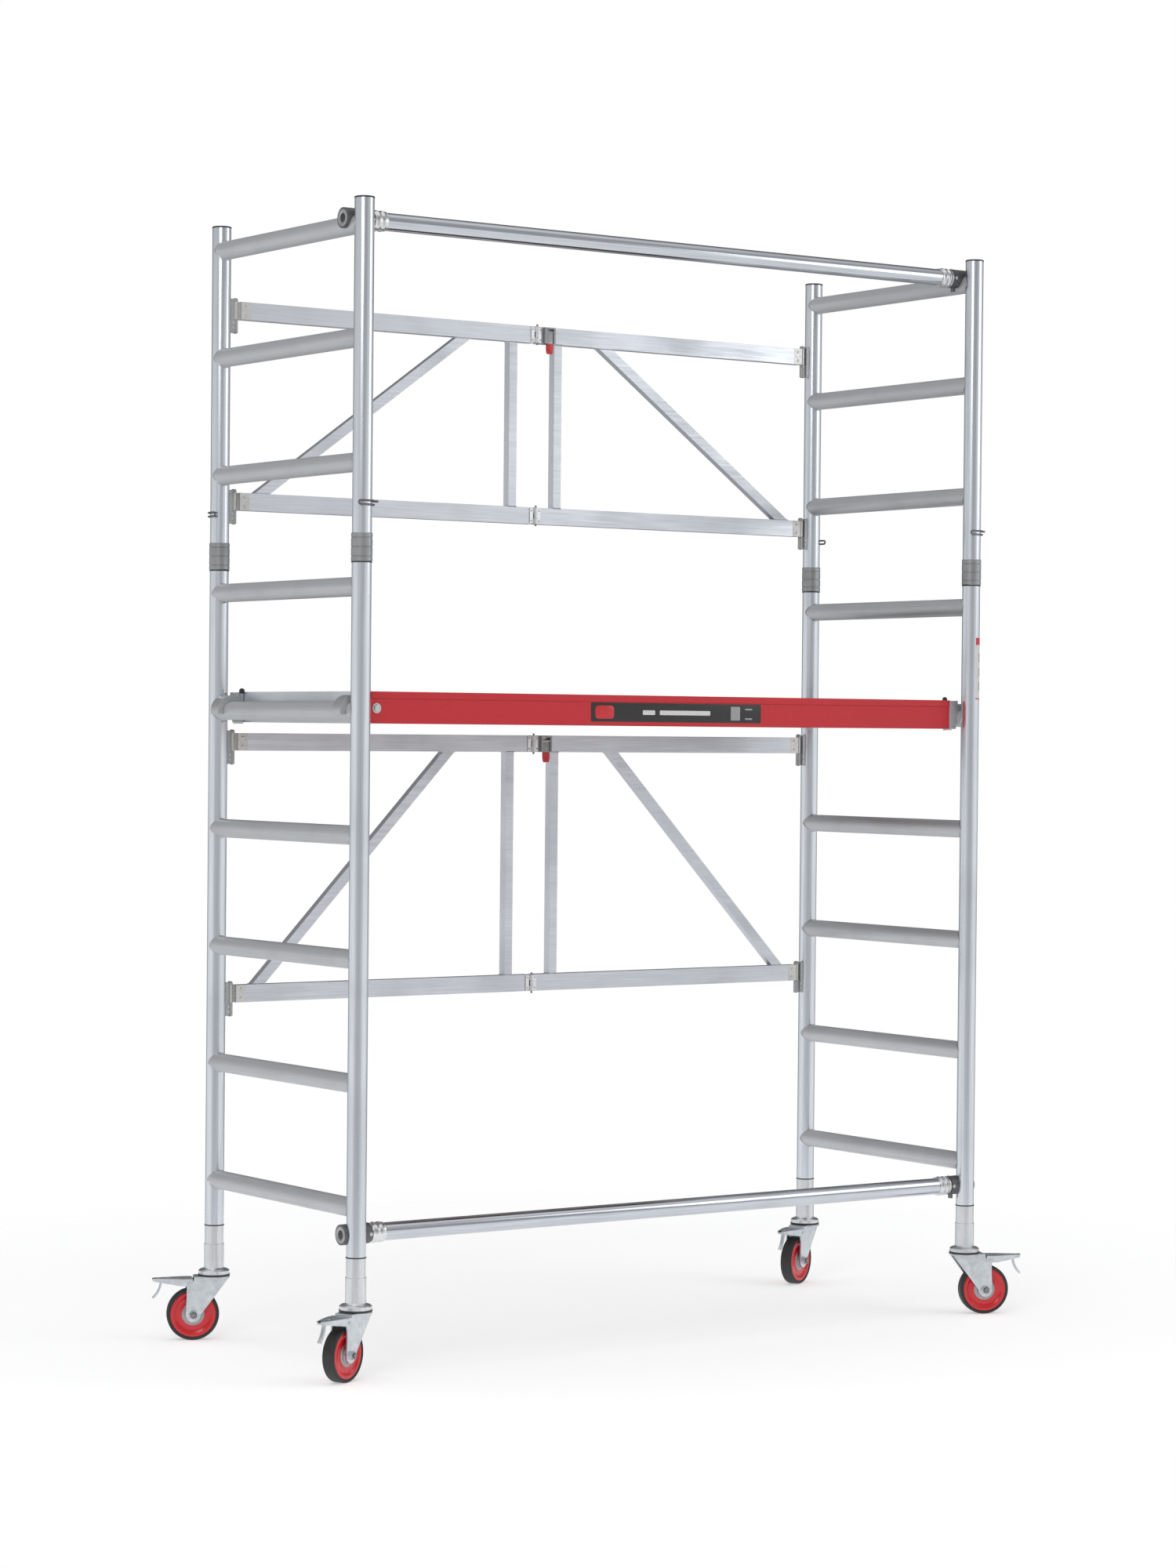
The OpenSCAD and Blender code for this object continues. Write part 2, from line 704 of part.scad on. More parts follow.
// Fixed leaves and pins of the trapdoor hinges
module hatch_hinge_leaves() {
    third = hatch_hinge_l / 6 + gap;
    color("silver") for (x = HATCH_HINGES) translate([x, 0, 0]) {
        for (side = [-1, 1]) {
            x0 = side < 0 ? -hatch_hinge_l / 2 : third;
            translate([x0, hatch_hinge_y, deck_z - strap_t])
                cube([hatch_hinge_l / 2 - third, leaf_l, strap_t]);
            translate([0, hatch_hinge_y, hatch_hinge_z])
                bar_x(x0, x0 + hatch_hinge_l / 2 - third, hatch_hinge_r);
        }
        translate([0, hatch_hinge_y, hatch_hinge_z])
            bar_x(-hatch_hinge_l / 2, hatch_hinge_l / 2, hatch_pin_r);
    }
}

// ---- Casters ---------------------------------------------------------------------------

// Puts its children at a corner, turned so that local +X is the trail direction
module at_caster(c) {
    translate([corner_x(c), corner_y(c), 0]) rotate([0, 0, caster_angle(c)]) children();
}

// Stem in the upright, sleeve, swivel flange and the riveted kingpin
module caster_stems() {
    rivet_z = crown_z - gap;
    rivet_r = kingpin_r + 3;
    rivet_h = 5;
    flange_z = fork_top_z + gap + seal_h;
    rim_h = 8;
    sleeve_z = flange_z + 15;
    color("silver") for (c = CORNERS) translate([corner_x(c), corner_y(c), 0]) rotate_extrude()
        polygon([[0, rivet_z - rivet_h], [rivet_r, rivet_z - rivet_h], [rivet_r, rivet_z],
            [kingpin_r, rivet_z], [kingpin_r, flange_z], [flange_r, flange_z], [flange_r, flange_z + rim_h],
            [flange_r - 4, flange_z + rim_h + 3], [sleeve_r + 3, flange_z + rim_h + 4],
            [sleeve_r, sleeve_z], [sleeve_r, sleeve_z + sleeve_h], [upright_r, sleeve_z + sleeve_h],
            [upright_r, foot_z], [spigot_r, foot_z], [spigot_r, foot_z + stem_reach],
            [0, foot_z + stem_reach]]);
}

module bearing_seals() {
    color("black") for (c = CORNERS) translate([corner_x(c), corner_y(c), fork_top_z + gap])
        difference() {
            cylinder(r = flange_r + 1, h = seal_h);
            translate([0, 0, -1]) cylinder(r = kingpin_r + 1, h = seal_h + 2);
        }
}

// Pressed fork, with its axle bolt and the pin of the brake pedal
module fork(c) {
    color("silver") at_caster(c) {
        difference() {
            union() {
                translate([0, 0, crown_z]) cylinder(r = flange_r + 1, h = crown_t);
                translate([-30, -leg_out_y, crown_z]) cube([trail + 28, 2 * leg_out_y, crown_t]);
                for (side = [-1, 1])
                    translate([0, side * (leg_in_y + leg_t / 2), 0]) plate_xz(leg_t) {
                        polygon([[-36, fork_top_z], [trail - 2, fork_top_z], [trail, crown_z - 6],
                            [trail + 16, crown_z - 6], [trail + 16, wheel_r + 44], [trail + leg_r, wheel_r],
                            [trail - leg_r, wheel_r]]);
                        translate([trail, wheel_r]) circle(r = leg_r);
                    }
            }
            translate([0, 0, crown_z - 1]) cylinder(r = kingpin_r + pin_gap, h = crown_t + 2);
            translate([trail, 0, wheel_r]) bar_y(2 * leg_out_y, axle_r);
            translate([pedal_pin_x, 0, pedal_pin_z]) bar_y(2 * leg_out_y, pedal_pin_r);
        }
        translate([trail, 0, wheel_r]) {
            bar_y(leg_out_y + 2, axle_r);
            for (side = [-1, 1]) translate([0, side * (leg_out_y + 4), 0]) rotate([90, 0, 0])
                cylinder(r = axle_r + 4, h = 8, center = true, $fn = 6);
        }
        translate([pedal_pin_x, 0, pedal_pin_z]) bar_y(pedal_y + 1.5, pedal_pin_r);
    }
}

// Red rim with a recessed web and a hub that runs on the axle
module rim(c) {
    hub = leg_in_y - gap;
    half = wheel_w / 2 - 2;
    color("firebrick") at_caster(c) translate([trail, 0, wheel_r]) rotate([90, 0, 0]) rotate_extrude()
        polygon([[axle_r + pin_gap, -hub], [20, -hub], [23, -half + 4], [40, -half + 4], [48, -half],
            [rim_r, -half], [rim_r, half], [48, half], [40, half - 4], [23, half - 4], [20, hub],
            [axle_r + pin_gap, hub]]);
}

module tyre(c) {
    half = wheel_w / 2;
    color("black") at_caster(c) translate([trail, 0, wheel_r]) rotate([90, 0, 0]) rotate_extrude($fn = 96)
        polygon([[rim_r, -half + 1], [wheel_r - 3, -half], [wheel_r - 0.6, -half + 4], [wheel_r, -half + 9],
            [wheel_r, half - 9], [wheel_r - 0.6, half - 4], [wheel_r - 3, half], [rim_r, half - 1]]);
}

// Dished brake pedal with its slot, skirt and release tail
module pedal(c) {
    root_x = trail + 2;
    slot_x = trail + 56;
    slot_l = 10;
    slot_r = 5;
    hole_x = trail + 38;
    hole_r = 3.5;
    tail_out = 60;
    tail_in = 55.5;
    tail_w = 9;
    tail_x = 49;
    skirt_x = trail + 30;
    skirt_tip = 7;
    color("silver") at_caster(c) {
        difference() {
            translate([0, 0, pedal_top_z - pedal_skirt_h]) linear_extrude(pedal_skirt_h)
                pedal_outline(root_x, 0);
            translate([0, 0, pedal_top_z - pedal_skirt_h - 1]) linear_extrude(pedal_skirt_h - pedal_t + 1)
                pedal_outline(root_x - 10, pedal_t);
            translate([0, 0, pedal_top_z - 2 * pedal_t]) linear_extrude(3 * pedal_t) {
                for (x = [slot_x, slot_x + slot_l]) translate([x, 0]) circle(r = slot_r);
                translate([slot_x, -slot_r]) square([slot_l, 2 * slot_r]);
                translate([hole_x, 0]) circle(r = hole_r);
            }
            translate([pedal_pin_x, 0, pedal_pin_z]) bar_y(2 * pedal_y, pedal_pin_r + pin_gap);
            translate([0, 0, pedal_top_z]) plate_xz(2 * pedal_y + 2)
                polygon([[skirt_x, -pedal_skirt_h - 1], [pedal_tip_x + tail_in, -pedal_skirt_h - 1],
                    [pedal_tip_x + pedal_tip_r, -skirt_tip], [skirt_x, -pedal_skirt_h]]);
        }
        translate([pedal_tip_x + tail_x, 0, pedal_top_z - 4.5]) plate_xz(tail_w) intersection() {
            difference() {
                circle(r = tail_out);
                circle(r = tail_in);
            }
            polygon([[0, 0], [-80, 4.5], [-80, -50], [-60, -67]]);
        }
    }
}

// Plan of the pedal, drawn in by an inset
module pedal_outline(root_x, inset) {
    y = pedal_y - inset;
    tip = pedal_tip_r - inset;
    polygon([[root_x, -y], [trail + 26, -y], [trail + 52, -y * 0.78], [pedal_tip_x, -tip],
        [pedal_tip_x, tip], [trail + 52, y * 0.78], [trail + 26, y], [root_x, y]]);
    translate([pedal_tip_x, 0]) circle(r = tip);
}

// ---- Assembly ----------------------------------------------------------------------------

color("silver") uprights(-1, foot_z, collar_z);  // lower_left_uprights
lower_rungs(-1);  // lower_left_rungs
color("silver") uprights(1, foot_z, collar_z);  // lower_right_uprights
lower_rungs(1);  // lower_right_rungs
color("silver") uprights(-1, joint_z, upright_top_z);  // upper_left_uprights
upper_rungs(-1);  // upper_left_rungs
color("silver") uprights(1, joint_z, upright_top_z);  // upper_right_uprights
upper_rungs(1);  // upper_right_rungs
spigots();
joint_collars();
top_caps();
caster_stems();
bearing_seals();
gate(-1, lower_bar_z, upper_bar_z, lower_diagonal_head);  // lower_left_gate
gate(1, lower_bar_z, upper_bar_z, lower_diagonal_head);  // lower_right_gate
gate(-1, lower_rail_z, upper_rail_z, upper_diagonal_head);  // upper_left_gate
gate(1, lower_rail_z, upper_rail_z, upper_diagonal_head);  // upper_right_gate
hinge_brackets();
gate_end_blocks();
hinge_pins();
mid_hinge_leaves();
latch_housings();
brace_tubes();
brace_claws();
side_beams();
end_rails();
rung_hooks();
cross_members();
deck_board();
hatch_board();
hatch_hinge_leaves();
fold_latch(upper_bar_z);  // lower_fold_latch
fold_latch(upper_rail_z);  // upper_fold_latch
wind_lock(-1);  // wind_lock_left
wind_lock(1);  // wind_lock_right
claw_catch(-1, top_brace_y, top_brace_z);  // claw_catch_top_left
claw_catch(1, top_brace_y, top_brace_z);  // claw_catch_top_right
claw_catch(-1, bottom_brace_y, bottom_brace_z);  // claw_catch_bottom_left
claw_catch(1, bottom_brace_y, bottom_brace_z);  // claw_catch_bottom_right
lock_clip(FL);  // lock_clip_fl
lock_clip(FR);  // lock_clip_fr
lock_clip(BL);  // lock_clip_bl
lock_clip(BR);  // lock_clip_br
fork(FL);  // fork_fl
fork(FR);  // fork_fr
fork(BL);  // fork_bl
fork(BR);  // fork_br
rim(FL);  // rim_fl
rim(FR);  // rim_fr
rim(BL);  // rim_bl
rim(BR);  // rim_br
tyre(FL);  // tyre_fl
tyre(FR);  // tyre_fr
tyre(BL);  // tyre_bl
tyre(BR);  // tyre_br
pedal(FL);  // pedal_fl
pedal(FR);  // pedal_fr
pedal(BL);  // pedal_bl
pedal(BR);  // pedal_br
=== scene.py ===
import json
import math

import bmesh
import bpy
import numpy as np
from mathutils import Matrix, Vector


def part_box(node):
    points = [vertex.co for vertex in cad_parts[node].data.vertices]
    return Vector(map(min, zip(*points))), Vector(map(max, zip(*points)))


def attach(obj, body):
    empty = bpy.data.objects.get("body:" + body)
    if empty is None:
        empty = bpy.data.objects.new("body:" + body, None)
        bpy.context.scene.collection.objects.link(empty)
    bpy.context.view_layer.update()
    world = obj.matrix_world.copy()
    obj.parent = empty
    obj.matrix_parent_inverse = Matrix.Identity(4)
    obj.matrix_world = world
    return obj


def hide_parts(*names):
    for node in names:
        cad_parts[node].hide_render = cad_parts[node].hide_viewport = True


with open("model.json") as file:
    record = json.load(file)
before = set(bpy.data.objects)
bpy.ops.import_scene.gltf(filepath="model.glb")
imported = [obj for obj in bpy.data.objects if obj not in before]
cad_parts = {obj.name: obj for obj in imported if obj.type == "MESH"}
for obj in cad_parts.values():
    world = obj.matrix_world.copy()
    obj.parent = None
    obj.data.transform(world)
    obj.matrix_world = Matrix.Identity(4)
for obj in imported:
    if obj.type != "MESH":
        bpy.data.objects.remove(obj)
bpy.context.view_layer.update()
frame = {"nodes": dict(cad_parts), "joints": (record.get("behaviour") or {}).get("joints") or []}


# Camera, floor and light. A long lens stands in front of the tower's left corner, a little above
# the middle. The floor is a pale disc that fades out, and the light is a plain soft room that is
# bright at both sides and grey in front and behind, which is what drawn tube shows in its streaks.
yaw, pitch, roll = 0.6104, -0.0145, 0.0091
forward = np.array([math.sin(yaw) * math.cos(pitch), math.cos(yaw) * math.cos(pitch), math.sin(pitch)])
level = np.array([math.cos(yaw), -math.sin(yaw), 0.0])
upward = np.cross(level, forward)
camera_right = level * math.cos(roll) + upward * math.sin(roll)
camera_up = upward * math.cos(roll) - level * math.sin(roll)
camera_place = np.eye(4)
camera_place[:3] = np.column_stack([camera_right, camera_up, -forward, (-5.280, -7.481, 1.467)])
camera_data = bpy.data.cameras.new("camera")
camera_data.sensor_width = 36.0
camera_data.lens = 85.55
camera_data.clip_end = 60.0
camera = bpy.data.objects.new("camera", camera_data)
camera.matrix_world = Matrix(camera_place.tolist())
bpy.context.scene.collection.objects.link(camera)
bpy.context.scene.camera = camera
bpy.context.scene.view_settings.view_transform = "Standard"


def link_nodes(tree, *steps):
    """Joins sockets in a node tree, each step as (from node, output, to node, input)."""
    for source, output, target, entry in steps:
        tree.links.new(source.outputs[output], target.inputs[entry])


def new_node(tree, kind, settings=(), **inputs):
    """A node of one kind, with its settings and the plain values of its inputs."""
    made = tree.nodes.new("ShaderNode" + kind)
    for key, value in dict(settings).items():
        setattr(made, key, value)
    for key, value in inputs.items():
        made.inputs[int(key[1:]) if key[0] == "i" and key[1:].isdigit() else key].default_value = value
    return made


def ramp_of(tree, stops):
    """A colour ramp from pairs of position and grey level or colour."""
    made = tree.nodes.new("ShaderNodeValToRGB")
    for n, (place, value) in enumerate(stops):
        stop = made.color_ramp.elements[n] if n < 2 else made.color_ramp.elements.new(place)
        stop.position = place
        stop.color = (*value, 1) if hasattr(value, "__len__") else (value, value, value, 1)
    return made


world = bpy.data.worlds.new("soft_room")
bpy.context.scene.world = world
world.use_nodes = True
sky = world.node_tree
sky.nodes.clear()
sky_way = new_node(sky, "TexCoord")
sky_side = new_node(sky, "VectorMath", {"operation": "DOT_PRODUCT"}, i1=tuple(level))
sky_back = new_node(sky, "VectorMath", {"operation": "DOT_PRODUCT"}, i1=(-math.sin(yaw), -math.cos(yaw), 0.0))
sky_turn = new_node(sky, "Math", {"operation": "ARCTAN2"})
sky_share = new_node(sky, "MapRange", i1=-math.pi, i2=math.pi)
sky_ring = ramp_of(sky, [(0.0, 0.30), (1.0, 0.30), (0.10, 0.34), (0.17, 0.85), (0.25, 1.0), (0.36, 1.0),
                         (0.44, 0.60), (0.53, 0.56), (0.60, 0.68), (0.66, 1.0), (0.80, 1.0), (0.90, 0.42)])
sky_split = new_node(sky, "SeparateXYZ")
sky_height = ramp_of(sky, [(0.0, 0.0), (1.0, 1.0), (0.88, 0.0), (0.96, 0.9)])
sky_band = ramp_of(sky, [(0.0, 1.0), (1.0, 1.0), (0.53, 1.0), (0.59, 0.42), (0.82, 0.48), (0.93, 1.0)])
sky_dim = new_node(sky, "Mix", {"data_type": "RGBA", "blend_type": "MULTIPLY"}, i0=1.0)
sky_lift = new_node(sky, "MapRange", i1=-1.0, i2=1.0)
sky_mix = new_node(sky, "Mix", {"data_type": "RGBA"}, i7=(1.05, 1.06, 1.08, 1.0))
sky_light = new_node(sky, "Background", Strength=0.92)
sky_plain = new_node(sky, "Background", Color=(1, 1, 1, 1), Strength=1.0)
sky_path = new_node(sky, "LightPath")
sky_pick = new_node(sky, "MixShader")
sky_out = new_node(sky, "OutputWorld")
link_nodes(sky, (sky_way, "Generated", sky_side, 0), (sky_way, "Generated", sky_back, 0),
           (sky_side, "Value", sky_turn, 0), (sky_back, "Value", sky_turn, 1),
           (sky_turn, 0, sky_share, 0), (sky_share, 0, sky_ring, 0),
           (sky_way, "Generated", sky_split, 0), (sky_split, "Z", sky_lift, 0), (sky_lift, 0, sky_height, 0),
           (sky_lift, 0, sky_band, 0), (sky_ring, 0, sky_dim, 6),
           (sky_band, 0, sky_dim, 7), (sky_height, 0, sky_mix, 0), (sky_dim, 2, sky_mix, 6),
           (sky_mix, 2, sky_light, 0),
           (sky_path, "Is Camera Ray", sky_pick, 0), (sky_light, 0, sky_pick, 1), (sky_plain, 0, sky_pick, 2),
           (sky_pick, 0, sky_out, 0))


def soft_light(name, where, aim, size, power):
    """A square area light that shines from one point to another."""
    data = bpy.data.lights.new(name, "AREA")
    data.size, data.energy = size, power
    lamp = bpy.data.objects.new(name, data)
    away = np.array(where, float) - np.array(aim, float)
    away /= np.linalg.norm(away)
    side = np.cross((0, 0, 1), away)
    side /= np.linalg.norm(side)
    place = np.eye(4)
    place[:3] = np.column_stack([side, np.cross(away, side), away, where])
    lamp.matrix_world = Matrix(place.tolist())
    bpy.context.scene.collection.objects.link(lamp)


soft_light("key_light", (-4.5, -3.5, 4.2), (0, 0, 1.3), 2.4, 62)
soft_light("fill_light", (4.2, -3.6, 3.4), (0, 0, 1.2), 2.4, 30)

turns = np.linspace(0, 2 * math.pi, 97)[:-1]
floor_r = 4.6
floor_mesh = bpy.data.meshes.new("floor")
floor_mesh.from_pydata(np.column_stack([floor_r * np.cos(turns), floor_r * np.sin(turns),
                                        0 * turns]).tolist(),
                       [], [list(range(len(turns)))])
floor = bpy.data.objects.new("floor", floor_mesh)
bpy.context.scene.collection.objects.link(floor)
floor_paint = bpy.data.materials.new("pale_floor")
floor_paint.use_nodes = True
pale = floor_paint.node_tree
pale_shader = pale.nodes["Principled BSDF"]
pale_shader.inputs["Base Color"].default_value = (0.93, 0.93, 0.93, 1)
pale_shader.inputs["Roughness"].default_value = 0.75
pale_shader.inputs["Emission Color"].default_value = (1, 1, 1, 1)
pale_shader.inputs["Emission Strength"].default_value = 0.42
pale_way = new_node(pale, "TexCoord")
pale_far = new_node(pale, "VectorMath", {"operation": "LENGTH"})
pale_fade = new_node(pale, "MapRange", {"interpolation_type": "SMOOTHSTEP"}, i1=1.2, i2=3.0, i3=0.0, i4=1.0)
pale_clear = new_node(pale, "BsdfTransparent")
pale_mix = new_node(pale, "MixShader")
link_nodes(pale, (pale_way, "Object", pale_far, 0), (pale_far, "Value", pale_fade, 0),
           (pale_fade, 0, pale_mix, 0), (pale_shader, 0, pale_mix, 1), (pale_clear, 0, pale_mix, 2),
           (pale_mix, 0, pale.nodes["Material Output"], 0))
floor_mesh.materials.append(floor_paint)


# Uprights: four drawn aluminium tubes in each storey, bright from the die, with long streaks that
# run up the tube, faint handling smears, and a bead of weld round the end of every rung.
def finish(name, colour, tint, metallic, rough, grain, relief=0.00002, smear=0.35, smear_size=9.0, edge=0.0,
           coat=0.0, specks=0.0):
    """A material. Colour runs from one value to its tint, and roughness over its range, with a noise
    drawn out along the grain; a coarse noise smears both, and the fine noise raises the surface."""
    made = bpy.data.materials.new(name)
    made.use_nodes = True
    tree = made.node_tree
    shader = tree.nodes["Principled BSDF"]
    shader.inputs["Metallic"].default_value = metallic
    if coat:
        shader.inputs["Coat Weight"].default_value = coat
        shader.inputs["Coat Roughness"].default_value = 0.12
    way = new_node(tree, "TexCoord")
    lie = new_node(tree, "Mapping", Scale=grain)
    fine = new_node(tree, "TexNoise", Scale=1.0, Detail=6.0, Roughness=0.62)
    wide = new_node(tree, "TexNoise", Scale=smear_size, Detail=3.0, Roughness=0.5)
    spread = new_node(tree, "MapRange", i1=0.32, i2=0.68)
    patch = new_node(tree, "MapRange", {"interpolation_type": "SMOOTHSTEP"}, i1=0.45, i2=0.75, i3=0.0,
                     i4=smear)
    hue = new_node(tree, "Mix", {"data_type": "RGBA"}, i6=(*colour, 1), i7=(*tint, 1))
    dull = new_node(tree, "Mix", {"data_type": "RGBA"}, i7=(*(0.72 * c for c in tint), 1))
    shine = new_node(tree, "MapRange", i1=0.3, i2=0.7, i3=rough[0], i4=rough[1])
    worn = new_node(tree, "Math", {"operation": "MULTIPLY_ADD"}, i1=0.22)
    raised = new_node(tree, "Bump", Strength=1.0, Distance=relief)
    link_nodes(tree, (way, "Object", lie, 0), (lie, 0, fine, 0), (way, "Object", wide, 0),
               (fine, 0, spread, 0), (spread, 0, hue, 0), (wide, 0, patch, 0), (patch, 0, dull, 0),
               (hue, 2, dull, 6), (fine, 0, shine, 0), (patch, 0, worn, 0), (shine, 0, worn, 2),
               (fine, 0, raised, "Height"), (worn, 0, shader, "Roughness"), (raised, 0, shader, "Normal"))
    colour_from = (dull, 2)
    if specks:
        dust = new_node(tree, "TexNoise", Scale=specks, Detail=2.0, Roughness=0.7)
        spot = new_node(tree, "MapRange", i1=0.62, i2=0.72, i3=0.0, i4=0.55)
        dusty = new_node(tree, "Mix", {"data_type": "RGBA"}, i7=(*(min(1, 1.5 * c + 0.05) for c in colour),
                                                                 1))
        link_nodes(tree, (way, "Object", dust, 0), (dust, 0, spot, 0), (spot, 0, dusty, 0),
                   (dull, 2, dusty, 6))
        colour_from = (dusty, 2)
    link_nodes(tree, (*colour_from, shader, "Base Color"))
    if edge:
        round_edge = new_node(tree, "Bevel", {"samples": 4}, Radius=edge)
        link_nodes(tree, (round_edge, 0, raised, "Normal"))
    return made


def coat_node(material, *names):
    """Gives CAD nodes a material in place of their plain one."""
    for name in names:
        mesh = frame["nodes"][name].data
        mesh.materials.clear()
        mesh.materials.append(material)


drawn_tube = finish("drawn_tube", (0.76, 0.80, 0.85), (0.65, 0.69, 0.75), 1.0, (0.17, 0.30), (420, 420, 5),
                    0.00001,
                    smear=0.25, smear_size=5.0)
coat_node(drawn_tube, "lower_left_uprights", "lower_right_uprights", "upper_left_uprights",
          "upper_right_uprights",
          "spigots")
left_low, left_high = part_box("lower_left_uprights")
right_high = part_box("lower_right_uprights")[1]
upper_low, upper_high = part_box("upper_left_uprights")
upright_r = (left_high.x - left_low.x) / 2
left_x, right_x = left_low.x + upright_r, right_high.x - upright_r
front_y, back_y = left_low.y + upright_r, left_high.y - upright_r
foot_z, collar_z, joint_z, top_z = left_low.z, left_high.z, upper_low.z, upper_high.z
corners = {"fl": (left_x, front_y), "fr": (right_x, front_y), "bl": (left_x, back_y), "br": (right_x, back_y)}


def rung_ends(node):
    """The radius of the rungs of one ladder storey, and the heights of its lowest and highest axis."""
    low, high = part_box(node)
    r = (high.x - low.x) / 2
    return r, [low.z + r, high.z - r]


# the lower rungs are evenly spaced, and in the upper storey the last gap is its own
lower_rungs = 6
rung_r, (first_z, sixth_z) = rung_ends("lower_left_rungs")
rung_step = (sixth_z - first_z) / (lower_rungs - 1)
upper_first_z, upper_last_z = rung_ends("upper_left_rungs")[1]
lower_heights = first_z + rung_step * np.arange(lower_rungs)
upper_heights = np.array([upper_first_z, upper_first_z + rung_step, upper_last_z])


def grid_faces(rows, columns, close_rows, close_columns):
    """Quads between the points of a grid, joined round in either direction."""
    i = np.arange(rows if close_rows else rows - 1)[:, None]
    j = np.arange(columns if close_columns else columns - 1)[None, :]
    a, b, c, d = (i * columns + j, (i + 1) % rows * columns + j,
                  (i + 1) % rows * columns + (j + 1) % columns, i * columns + (j + 1) % columns)
    return np.stack([a, b, c, d], -1).reshape(-1, 4)


def end_caps(rows, columns):
    """The two flat faces that close the first and the last row of a grid."""
    return [np.arange(columns), (rows - 1) * columns + np.arange(columns)]


def sweep(path, section, closed=False, up=(0.0, 0.0, 1.0)):
    """A section carried along a path. section is (k, 2), or (n, k, 2) with one for each point; its first
    axis lies square to the path and to up, its second completes the frame. Open ends are closed flat.
    up is one direction or one for each point, and it never lies along the path, where the frame is lost."""
    path = np.asarray(path, float)
    n = len(path)
    section = np.broadcast_to(section, (n,) + np.asarray(section).shape[-2:])
    if closed:
        along = np.roll(path, -1, 0) - np.roll(path, 1, 0)
    else:
        along = np.gradient(path, axis=0)
    along /= np.linalg.norm(along, axis=1)[:, None]
    across = np.cross(along, np.broadcast_to(up, along.shape))
    across /= np.linalg.norm(across, axis=1)[:, None]
    over = np.cross(across, along)
    points = path[:, None] + section[..., :1] * across[:, None] + section[..., 1:] * over[:, None]
    k = section.shape[1]
    return points.reshape(-1, 3), grid_faces(n, k, closed, True), [] if closed else end_caps(n, k)


def circle(r, count=12):
    """Points round a circle."""
    a = np.linspace(0, 2 * math.pi, count + 1)[:-1]
    return np.column_stack([r * np.cos(a), r * np.sin(a)])


def add_piece(name, parts, material, body, slot, *nodes, angle=35.0):
    """Joins (points, quads, caps) parts into one mesh with merged doubles, outward faces and smooth
    shading up to an angle, and makes it a piece on a body, standing for CAD nodes."""
    points, faces, start = [], [], 0
    for part_points, quads, caps in parts:
        points.append(np.asarray(part_points, float))
        faces += (quads + start).tolist() + [(cap + start).tolist() for cap in caps]
        start += len(part_points)
    mesh = bpy.data.meshes.new(name)
    mesh.from_pydata(np.concatenate(points).tolist(), [], faces)
    work = bmesh.new()
    work.from_mesh(mesh)
    bmesh.ops.remove_doubles(work, verts=work.verts, dist=2e-6)
    bmesh.ops.dissolve_degenerate(work, edges=work.edges, dist=1e-7)
    bmesh.ops.recalc_face_normals(work, faces=work.faces)
    work.to_mesh(mesh)
    work.free()
    mesh.shade_smooth()
    mesh.set_sharp_from_angle(angle=math.radians(angle))
    mesh.materials.append(material)
    made = bpy.data.objects.new(name, mesh)
    bpy.context.scene.collection.objects.link(made)
    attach(made, body)
    if nodes:
        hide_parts(*nodes)
    return made


def weld_bead(x, end, z):
    """The bead where a rung of radius a meets an upright of radius R: for each angle t the path stands at
    x + a cos t, z + a sin t, and sqrt(R^2 - (a cos t)^2) out of the upright's axis, with a rippled radius."""
    t = np.linspace(0, 2 * math.pi, 73)[:-1]
    a = rung_r - 0.0002
    out = np.sqrt(upright_r ** 2 - (a * np.cos(t)) ** 2)
    path = np.column_stack([x + a * np.cos(t), end * (back_y - out - 0.0003), z + a * np.sin(t)])
    ripple = 1 + 0.16 * np.sin(36 * t + x) + 0.1 * np.sin(5 * t + 9 * z)
    return sweep(path, circle(0.0019, 8)[None] * ripple[:, None, None], closed=True, up=(0, 1, 0))


weld_metal = finish("weld_metal", (0.62, 0.63, 0.64), (0.46, 0.47, 0.48), 1.0, (0.32, 0.5), (300, 300, 300),
                    0.00015)
for storey, heights in (("lower", lower_heights), ("upper", upper_heights)):
    for side, x in (("left", left_x), ("right", right_x)):
        add_piece(f"{storey}_{side}_rung_welds", [weld_bead(x, end, z) for z in heights for end in (-1, 1)],
                  weld_metal, "tower", "rung_aluminium")


# Rungs: matt extruded tube, lightly ribbed along its length for grip, with scuffs where boots land.
ribbed_rung = finish("ribbed_rung", (0.62, 0.64, 0.66), (0.56, 0.58, 0.60), 0.6, (0.42, 0.60), (520, 4, 520),
                     0.00012, smear=0.15, smear_size=11.0)
coat_node(ribbed_rung, "lower_left_rungs", "lower_right_rungs", "upper_left_rungs", "upper_right_rungs")


# Storey joints: moulded grey collars, turned with chamfered ends and three grooves, on which the
# upper uprights stand. A dark seal shows under each, and a snap button fills each lock hole.
def lathe(profile, centre, axis=(0, 0, 1), steps=64, closed=False):
    """A profile of (radius, height) pairs turned round an axis through a centre."""
    profile = np.asarray(profile, float)
    axis = np.asarray(axis, float) / np.linalg.norm(axis)
    side = np.cross(axis, (1.0, 0.0, 0.0) if abs(axis[0]) < 0.9 else (0.0, 1.0, 0.0))
    side /= np.linalg.norm(side)
    third = np.cross(axis, side)
    a = np.linspace(0, 2 * math.pi, steps + 1)[:-1]
    ring = np.cos(a)[:, None] * side + np.sin(a)[:, None] * third
    points = np.asarray(centre, float) + profile[:, None, :1] * ring[None] + profile[:, None, 1:] * axis
    return points.reshape(-1, 3), grid_faces(len(profile), steps, closed, True), []


